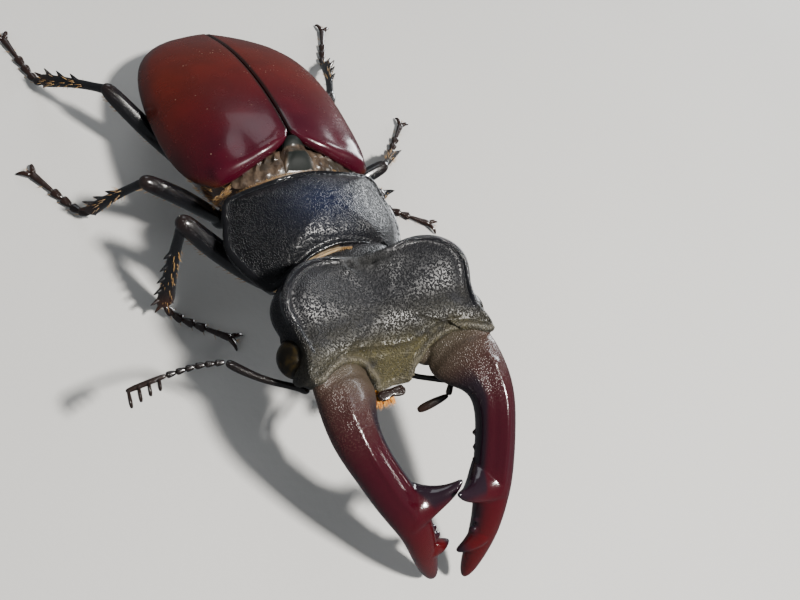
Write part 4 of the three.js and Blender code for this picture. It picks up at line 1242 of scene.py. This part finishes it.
def thorn(base, tip, radius):
    """A round thorn, a little hollow in its outline."""
    stations = [(0, radius, radius), (0.3, radius * 0.8, radius * 0.8),
                (0.7, radius * 0.45, radius * 0.45), (1, radius * 0.08, radius * 0.08)]
    return drawn_limb("thorn", STAND, [base, base.lerp(tip, 0.55), tip], stations,
                      up=(0.31, 0.17, 0.93), sides=8, levels=1)


def gap_to(piece, place):
    return np.linalg.norm(local_points(piece, STAND) - np.array(place), axis=1)


def thigh(name, hip, knee, girth, bow):
    middle = hip.lerp(knee, 0.5) + Vector((0, 0, bow))
    limb = drawn_limb(f"{name}_thigh", STAND, [hip, middle, knee], sized(THIGH_STATIONS, girth), sides=16)
    along = (knee - hip).normalized()
    stroke(limb, STAND, [hip.lerp(knee, 0.2), hip.lerp(knee, 0.9)], 0.22, 0.06, facing=UP, fade=0.1)
    tint(limb, "warm", 0.25 * bell(gap_to(limb, knee), 1.5))
    placed(limb, "leg_shell", LEG_SHELL, f"{name}_femur")
    trochanter = ball(f"{name}_hip_ring", STAND, hip.lerp(knee, 0.06), (0.95, 0.95, 0.95), 24, 16)
    tint_evenly(trochanter, "warm", 0)
    placed(trochanter, "leg_shell", LEG_SHELL)
    roots = []
    below = Vector(DOWN)
    below = (below - along * below.dot(along)).normalized()
    width = along.cross(below)
    for _ in range(THIGH_HAIRS):
        share = CHANCE.uniform(0.25, 0.95)
        across = CHANCE.uniform(-0.7, 0.7)
        skin = hip.lerp(knee, share) + Vector((0, 0, bow * 4 * share * (1 - share)))
        way = (below + width * across).normalized()
        spot = (share, 0.5 + 0.4 * across)
        roots.append((skin + way * (0.93 * girth), way + along * 0.9, CHANCE.uniform(0.35, 0.7), 0.0, spot))
    return roots


def shin(name, knee, ankle, girth, fore):
    away = Vector((ankle.x, ankle.y, 0)).normalized()
    along = (ankle - knee).normalized()
    edge = (away - along * away.dot(along)).normalized()
    up = along.cross(edge)
    broad = 1.15 if fore else 0.9
    stations = [(0, 0.28, 0.28), (0.03, 0.48, 0.46), (0.08, 0.56, 0.52), (0.16, 0.48, 0.44),
                (0.4, 0.56 * broad, 0.5), (0.7, 0.72 * broad, 0.56), (0.88, 0.86 * broad, 0.6),
                (0.97, 0.9 * broad, 0.6), (1, 0.55 * broad, 0.42)]
    line = [knee, knee.lerp(ankle, 0.5) + edge * SHIN_BOW, ankle]
    limbs = [drawn_limb("shaft", STAND, line, sized(stations, girth), up=up, sides=14)]
    for share in SHIN_THORNS[fore]:
        root = knee.lerp(ankle, share) + edge * SHIN_BOW
        size = (0.7 + 0.7 * share) * broad
        limbs.append(thorn(root, root + edge * (size + 0.25) + along * 0.55, 0.34))
    for way, length in ((-1, 0.9), (1, 1.15)):
        root = ankle - along * 0.5 + edge * (0.3 * way)
        limbs.append(thorn(root, ankle + along * 0.5 * length + edge * (1.05 * way * broad), 0.3))
    spur = ankle - along * 0.2 + up * 0.35
    limbs.append(thorn(spur, spur + along * 1.0 + up * 0.3, 0.17))
    made = fused(join(f"{name}_shin", limbs), SHIN_VOXEL, softening=2)
    tint(made, "warm", bell(gap_to(made, ankle), 1.6) * (1.0 if fore else 0.6))
    placed(made, "leg_shell", LEG_SHELL, f"{name}_tibia")
    roots = []
    for _ in range(SHIN_HAIRS[fore]):
        share = CHANCE.uniform(0.3, 1.0)
        angle = CHANCE.uniform(0, 2 * math.pi)
        skin = knee.lerp(ankle, share) + edge * (SHIN_BOW * 4 * share * (1 - share))
        way = edge * math.cos(angle) + up * math.sin(angle)
        spot = (share, angle / 6.3)
        roots.append((skin + way * 0.45, way + along * 1.4, CHANCE.uniform(0.5, 0.9), 0.0, spot))
    return roots


def foot(name, ankle, reach):
    def at(share, height):
        return Vector((ankle.x + reach[0] * share, ankle.y + reach[1] * share, height))

    path = Path([at(0, ankle.z - 0.35), at(0.08, ankle.z * 0.55), at(0.2, FOOT_HEIGHT + 0.1),
                 at(0.4, FOOT_HEIGHT), at(0.7, FOOT_HEIGHT), at(0.9, FOOT_HEIGHT)])
    joints = []
    for start, end in FOOT_JOINTS:
        ends = [path.at(start + (end - start) * k / 2) for k in range(3)]
        stations = LAST_JOINT_STATIONS if end == 1.0 else JOINT_STATIONS
        joints.append(drawn_limb("joint", STAND, ends, stations, sides=10))
    heading = Vector((*reach, 0)).normalized()
    across = Vector((-heading.y, heading.x, 0))
    root = at(0.88, FOOT_HEIGHT + 0.05)
    for way in (-1, 1):
        bends = [root + heading * ahead + across * (aside * way) + Vector((0, 0, lift))
                 for ahead, aside, lift in ((0, 0.15, 0), (0.45, 0.42, 0.14), (0.85, 0.72, 0.04),
                                            (1.15, 0.95, 0))]
        bends[-1].z = 0.12
        joints.append(drawn_limb("claw", STAND, bends, CLAW_STATIONS, sides=8))
    pad = root + heading * 0.75
    line = [root + heading * 0.3, Vector((pad.x, pad.y, 0.5))]
    joints.append(drawn_limb("pad", STAND, line, PAD_STATIONS, sides=6, levels=1))
    made = join(f"{name}_foot", joints)
    points = local_points(made, STAND)
    points[:, 2] = points[:, 2].clip(0, None)
    put_points(made, STAND, points)
    tint(made, "warm", 0.35 + 0.4 * bell(gap_to(made, root + heading), 0.8))
    placed(made, "leg_shell", LEG_SHELL, f"{name}_tarsus")
    roots = []
    for k in range(5):
        share = 0.14 + 0.16 * k
        for way in (-1, 1):
            place = path.at(min(share, 0.95)) + across * (0.3 * way) - Vector((0, 0, 0.12))
            direction = across * way + heading * 0.9 - Vector((0, 0, 0.25))
            roots.append((place, direction, 0.55, 0.0, (share, 0.5 + 0.2 * way)))
    for way in (-1, 0, 1):
        direction = heading + across * (0.5 * way)
        roots.append((pad - heading * 0.1, direction, 0.5, 0.0, (0.95, 0.5 + 0.1 * way)))
    return roots


def leg(name, carrier, hip, knee, ankle, reach, girth, bow):
    side = 1 if hip[0] > 0 else -1
    fore = name.startswith("fore")
    hip_on_stand = STAND.inverted() @ carrier @ Vector(hip)
    coxa_place = (hip[0] - side * 1.35, hip[1], hip[2] + 0.6)
    radii = (1.75, 1.5, 1.3) if fore else (2.5, 1.6, 1.25)
    coxa = ball(f"{name}_hip", carrier, coxa_place, radii, 36, 24)
    swell(coxa, carrier, (hip[0], hip[1], hip[2] - 0.4), (0.8, 0.8, 0.8), -0.15)
    tint_evenly(coxa, "warm", 0.1)
    placed(coxa, "leg_shell", LEG_SHELL, f"{name}_coxa")
    knee, ankle = Vector(knee), Vector(ankle)
    roots = thigh(name, hip_on_stand, knee, girth, bow)
    roots += shin(name, knee.lerp(hip_on_stand, 0.05), ankle, girth, fore)
    roots += foot(name, ankle, reach)
    placed(hair(f"{name}_bristles", roots, STAND, thickness=0.035), "leg_shell", GOLD_HAIR, angle=0)


for name, facts in LEGS.items():
    leg(name, *facts)

# ------------------------------------------------------------------ trunk and membranes

CHEST_SUTURES = ([(8.6, 2.2, -6.5), (8.6, 6, -8), (8.9, 9.7, -8.4)],
                 [(1.2, 8.2, -11.5), (5, 8.4, -11), (8.4, 8.8, -9)])
BELLY_RINGS = (12.6, 15.4, 18.2, 21, 23.6)
CHEST_HAIRS = 1100
MEMBRANE_EDGE = [(0, 3.2, -1.1), (1.3, 2.7, -1.25), (3.0, 2.3, -1.7), (4.6, 2.1, -2.3), (6.3, 1.6, -3.2),
                 (6.6, 0.6, -3.7), (5.4, -0.1, -3.3), (3.0, -0.2, -2.4), (0, -0.2, -1.9)]
FOLDS = (((1.7, 2.6), (2.2, 0.1)), ((2.5, 2.5), (3.4, 0.0)), ((3.3, 2.2), (4.5, -0.1)),
         ((4.3, 2.0), (5.6, 0.2)))
SHOULDER_HAIRS = 330


def hind_chest():
    chest = subdivided(cad_copy("metathorax", "hind_chest"), 2)
    stroke(chest, BODY, [(0, 2, -12), (0, 6, -12), (0, 9.6, -12)], 0.3, -0.2, facing=DOWN)
    for _, side in SIDES:
        for line in CHEST_SUTURES:
            stroke(chest, BODY, to_side(line, side), 0.28, -0.2, flat=False)
    tint_evenly(chest, "warm", 0.35)
    placed(chest, "belly", BELLY_SHELL, "metathorax")
    return chest


def belly_rings():
    belly = subdivided(cad_copy("abdomen", "belly_rings"), 3)
    for y in BELLY_RINGS:
        points = local_points(belly, BODY)
        normals = local_normals(belly, BODY)
        bow = points[:, 1] - y + 0.6 * (1 - (points[:, 0] / 10) ** 2)
        fall = -0.22 * bell(bow, 0.22) + 0.1 * bell(bow + 0.5, 0.4)
        fall *= step(0.2, -0.2, normals[:, 2])
        put_points(belly, BODY, points + normals * fall[:, None])
    tint_evenly(belly, "warm", 0.45)
    placed(belly, "belly", BELLY_SHELL, "abdomen")


def chest_hair(chest):
    """Hair on the chest's sides and underside, leaning to the rear."""
    points = local_points(chest, BODY)
    normals = local_normals(chest, BODY)
    haired = np.nonzero((normals[:, 2] < 0.25) & (points[:, 1] < 9.2))[0]
    roots = []
    for k in CHANCE.choices(list(map(int, haired)), k=CHEST_HAIRS):
        x, y, z = points[k]
        place = (x, y + CHANCE.uniform(-0.4, 0.4), z)
        direction = tuple(normals[k] * 0.45 + np.array([0, 0.9, -0.2]))
        spot = (0.5 + x / 20, 0.1 + y / 12)
        roots.append((place, direction, CHANCE.uniform(0.4, 0.85), 0.0, spot))
    placed(hair("chest_hair", roots, BODY, thickness=0.03), "belly", GOLD_HAIR, angle=0)


def shoulder_skin():
    """The wrinkled skin between the shield and the wing cases."""
    ring = subdivided(cad_copy("mesothorax", "shoulder_ring"), 3)
    tint_evenly(ring, "dark", 0.9)
    placed(ring, "belly", MEMBRANE, "mesothorax")
    drape = cushion("shoulder_membrane", BODY, edge_line(MEMBRANE_EDGE, 96), (0, 1.2, -1.1),
                    (0, 1.3, -3.2), None, levels=2, upper=(0.93, 0.8, 0.62, 0.42, 0.2), lower=(0.75, 0.4))
    for _, side in SIDES:
        for start, end in FOLDS:
            bend = ((start[0] + end[0]) / 2 + 0.25, (start[1] + end[1]) / 2)
            fold = to_side([(*start, 0), (*bend, 0), (*end, 0)], side)
            stroke(drape, BODY, fold, 0.2, 0.13, facing=UP, fade=0.15)
            stroke(drape, BODY, shifted(fold, side * 0.42, 0, 0), 0.22, -0.1, facing=UP, fade=0.15)
    tint_evenly(drape, "dark", 0)
    placed(drape, "belly", MEMBRANE)


def scutellum():
    """The dark plate in the middle of that skin, with its rounded rear end."""
    plate = subdivided(cad_copy("scutellum", "scutellum_plate"), 3)
    swell(plate, BODY, (0, 3.05, -0.5), (1.0, 0.6, 2), 0.34, facing=UP)
    swell(plate, BODY, (0, 2.1, -0.8), (1.6, 0.35, 2), -0.16, facing=UP)
    for _, side in SIDES:
        ridge = to_side([(0.75, 1.8, 0), (1.3, 0.8, 0), (1.5, 0, 0)], side)
        stroke(plate, BODY, ridge, 0.2, 0.12, facing=UP)
    x, y = local_points(plate, BODY).T[:2]
    dome = step(2.3, 2.5, y)
    front_field = step(1.35, 1.0, np.abs(x) + 0.25 * (y - 1)) * step(1.9, 1.6, y)
    tint(plate, "dark", np.maximum(dome, front_field))
    placed(plate, "black_shell", MEMBRANE, "scutellum")


def shoulder_hair():
    roots = []
    for _ in range(SHOULDER_HAIRS):
        side = CHANCE.choice((-1, 1))
        share = CHANCE.random()
        place = (side * (6.2 + 1.6 * share), 0.9 - 0.5 * share + CHANCE.uniform(-0.25, 0.25),
                 -3.4 - 1.2 * share - CHANCE.random() * 1.2)
        spot = (0.5 + side * 0.4, share)
        roots.append((place, (side * 0.5, -0.55, 0.35), CHANCE.uniform(0.5, 0.9), 0.15, spot))
    placed(hair("shoulder_hair", roots, BODY, thickness=0.03), "belly", GOLD_HAIR, angle=0)


FRONT_STRIP = [(-6.6, -9.9, -5.3), (-5.4, -9.55, -4.5), (-3.2, -8.8, -3.1), (0, -8.5, -2.35),
               (3.2, -8.8, -3.1), (5.4, -9.55, -4.5), (6.6, -9.9, -5.3)]
FRONT_STATIONS = [(0, 0.1, 0.1), (0.04, 0.2, 0.16), (0.25, 0.22, 0.18), (0.5, 0.22, 0.18),
                  (0.75, 0.22, 0.18), (0.96, 0.2, 0.16), (1, 0.1, 0.1)]
REAR_STRIP = [(-6.4, -0.8, -2.9), (-3.6, -0.6, -1.95), (0, -0.5, -1.4), (3.6, -0.6, -1.95),
              (6.4, -0.8, -2.9)]
REAR_STATIONS = [(0, 0.1, 0.1), (0.04, 0.35, 0.2), (0.3, 0.42, 0.24), (0.7, 0.42, 0.24),
                 (0.96, 0.35, 0.2), (1, 0.1, 0.1)]
FRONT_HAIRS = 170
REAR_HAIRS = 150


def shield_edges():
    """The tan strips with short bristles under the shield's front and rear margins."""
    front = shifted(FRONT_STRIP, 0, -0.08, -0.42)
    rear = shifted(REAR_STRIP, 0, 0.2, -0.32)
    for name, line, stations in (("front", front, FRONT_STATIONS), ("rear", rear, REAR_STATIONS)):
        strip = drawn_limb(f"shield_{name}_strip", PROTHORAX, line, stations)
        placed(strip, "black_shell", TAN_EDGE)
    roots = []
    ahead = Vector((0, -1, 0))
    line = Path(front)
    for k in range(FRONT_HAIRS):
        share = (k + 0.5) / FRONT_HAIRS
        along = line.along(share)
        way = (ahead - along * along.dot(ahead)).normalized()
        place = line.at(share) + way * 0.26 + Vector((0, 0, 0.1))
        direction = way + Vector((CHANCE.uniform(-0.15, 0.15), 0, 0.1))
        roots.append((place, direction, CHANCE.uniform(0.35, 0.5), 0.05, (share, 0.2)))
    line = Path(rear)
    for k in range(REAR_HAIRS):
        share = (k + 0.5) / REAR_HAIRS
        place = line.at(share) + Vector((0, 0.3, 0.08))
        direction = (CHANCE.uniform(-0.2, 0.2), 1, 0.25)
        roots.append((place, direction, CHANCE.uniform(0.25, 0.45), 0.05, (share, 0.8)))
    placed(hair("shield_fringe", roots, PROTHORAX, thickness=0.03), "black_shell", GOLD_HAIR, angle=0)


chest = hind_chest()
belly_rings()
chest_hair(chest)
shoulder_skin()
scutellum()
shoulder_hair()
shield_edges()

# ------------------------------------------------------------------ floor, light and camera

# For each lamp: the way to it in the body's frame, how far off and how wide it is, in metres, its
# watts, its colour, and whether the shell mirrors it.
LAMPS = {
    "key": ((0.3, -0.55, 0.78), 0.3, 0.035, 2.2, (1, 0.97, 0.92), True),
    "fill": ((-0.9, -0.2, 0.6), 0.4, 0.3, 0.35, (0.92, 0.96, 1), False),
    "back": ((0.2, 0.9, 0.6), 0.4, 0.2, 0.3, (1, 1, 1), False),
    "sky": ((0.1, 0.62, 0.75), 0.45, 0.2, 0.2, (0.9, 0.95, 1), True),
    "side": ((0.88, 0.42, 0.1), 0.3, 0.14, 0.9, (0.95, 0.98, 1), True),
}
LIT_PLACE = (0, -4, -3)
ROOM_COLOUR = (0.8, 0.85, 0.9, 1)
ROOM_STRENGTH = 0.14
CAMERA_PLACE = (-30.267, -46.764, 47.028)
CAMERA_RIGHT = (0.84929, -0.42175, 0.31754)
CAMERA_UP = (0.16342, 0.78197, 0.60151)
CAMERA_BACK = (-0.50199, -0.45897, 0.73304)
CAMERA_LENS = 34.09


def floor():
    nothing_selected()
    bpy.ops.mesh.primitive_plane_add(size=3)
    made = bpy.context.object
    made.name = "floor"
    made.data.materials.append(floor_finish())
    made.visible_glossy = False


def lamp(name, toward, distance, size, power, colour, glossy):
    """An area light seen from the beetle in a direction of the body's frame."""
    direction = (BODY.to_3x3() @ Vector(toward)).normalized()
    data = bpy.data.lights.new(name, "AREA")
    data.energy, data.size, data.color = power, size, colour
    made = bpy.data.objects.new(name, data)
    made.location = BODY @ Vector(LIT_PLACE) + direction * distance
    made.rotation_mode = "QUATERNION"
    made.rotation_quaternion = (-direction).to_track_quat("-Z", "Y")
    made.visible_glossy = glossy
    bpy.context.scene.collection.objects.link(made)


def camera():
    """The view from above the beetle's right front, along the camera's own axes in the body's frame."""
    data = bpy.data.cameras.new("camera")
    data.sensor_width, data.lens = 36, CAMERA_LENS
    data.clip_start, data.clip_end = 0.001, 20
    made = bpy.data.objects.new("camera", data)
    axes = Matrix((CAMERA_RIGHT, CAMERA_UP, CAMERA_BACK)).transposed()
    made.rotation_mode = "QUATERNION"
    made.rotation_quaternion = ((BODY.to_3x3() @ axes) * (1 / MM)).to_quaternion()
    made.location = BODY @ Vector(CAMERA_PLACE)
    bpy.context.scene.collection.objects.link(made)
    bpy.context.scene.camera = made


def room():
    world = bpy.data.worlds.new("studio")
    world.use_nodes = True
    background = world.node_tree.nodes["Background"]
    background.inputs["Color"].default_value = ROOM_COLOUR
    background.inputs["Strength"].default_value = ROOM_STRENGTH
    bpy.context.scene.world = world


floor()
for name, facts in LAMPS.items():
    lamp(name, *facts)
camera()
room()
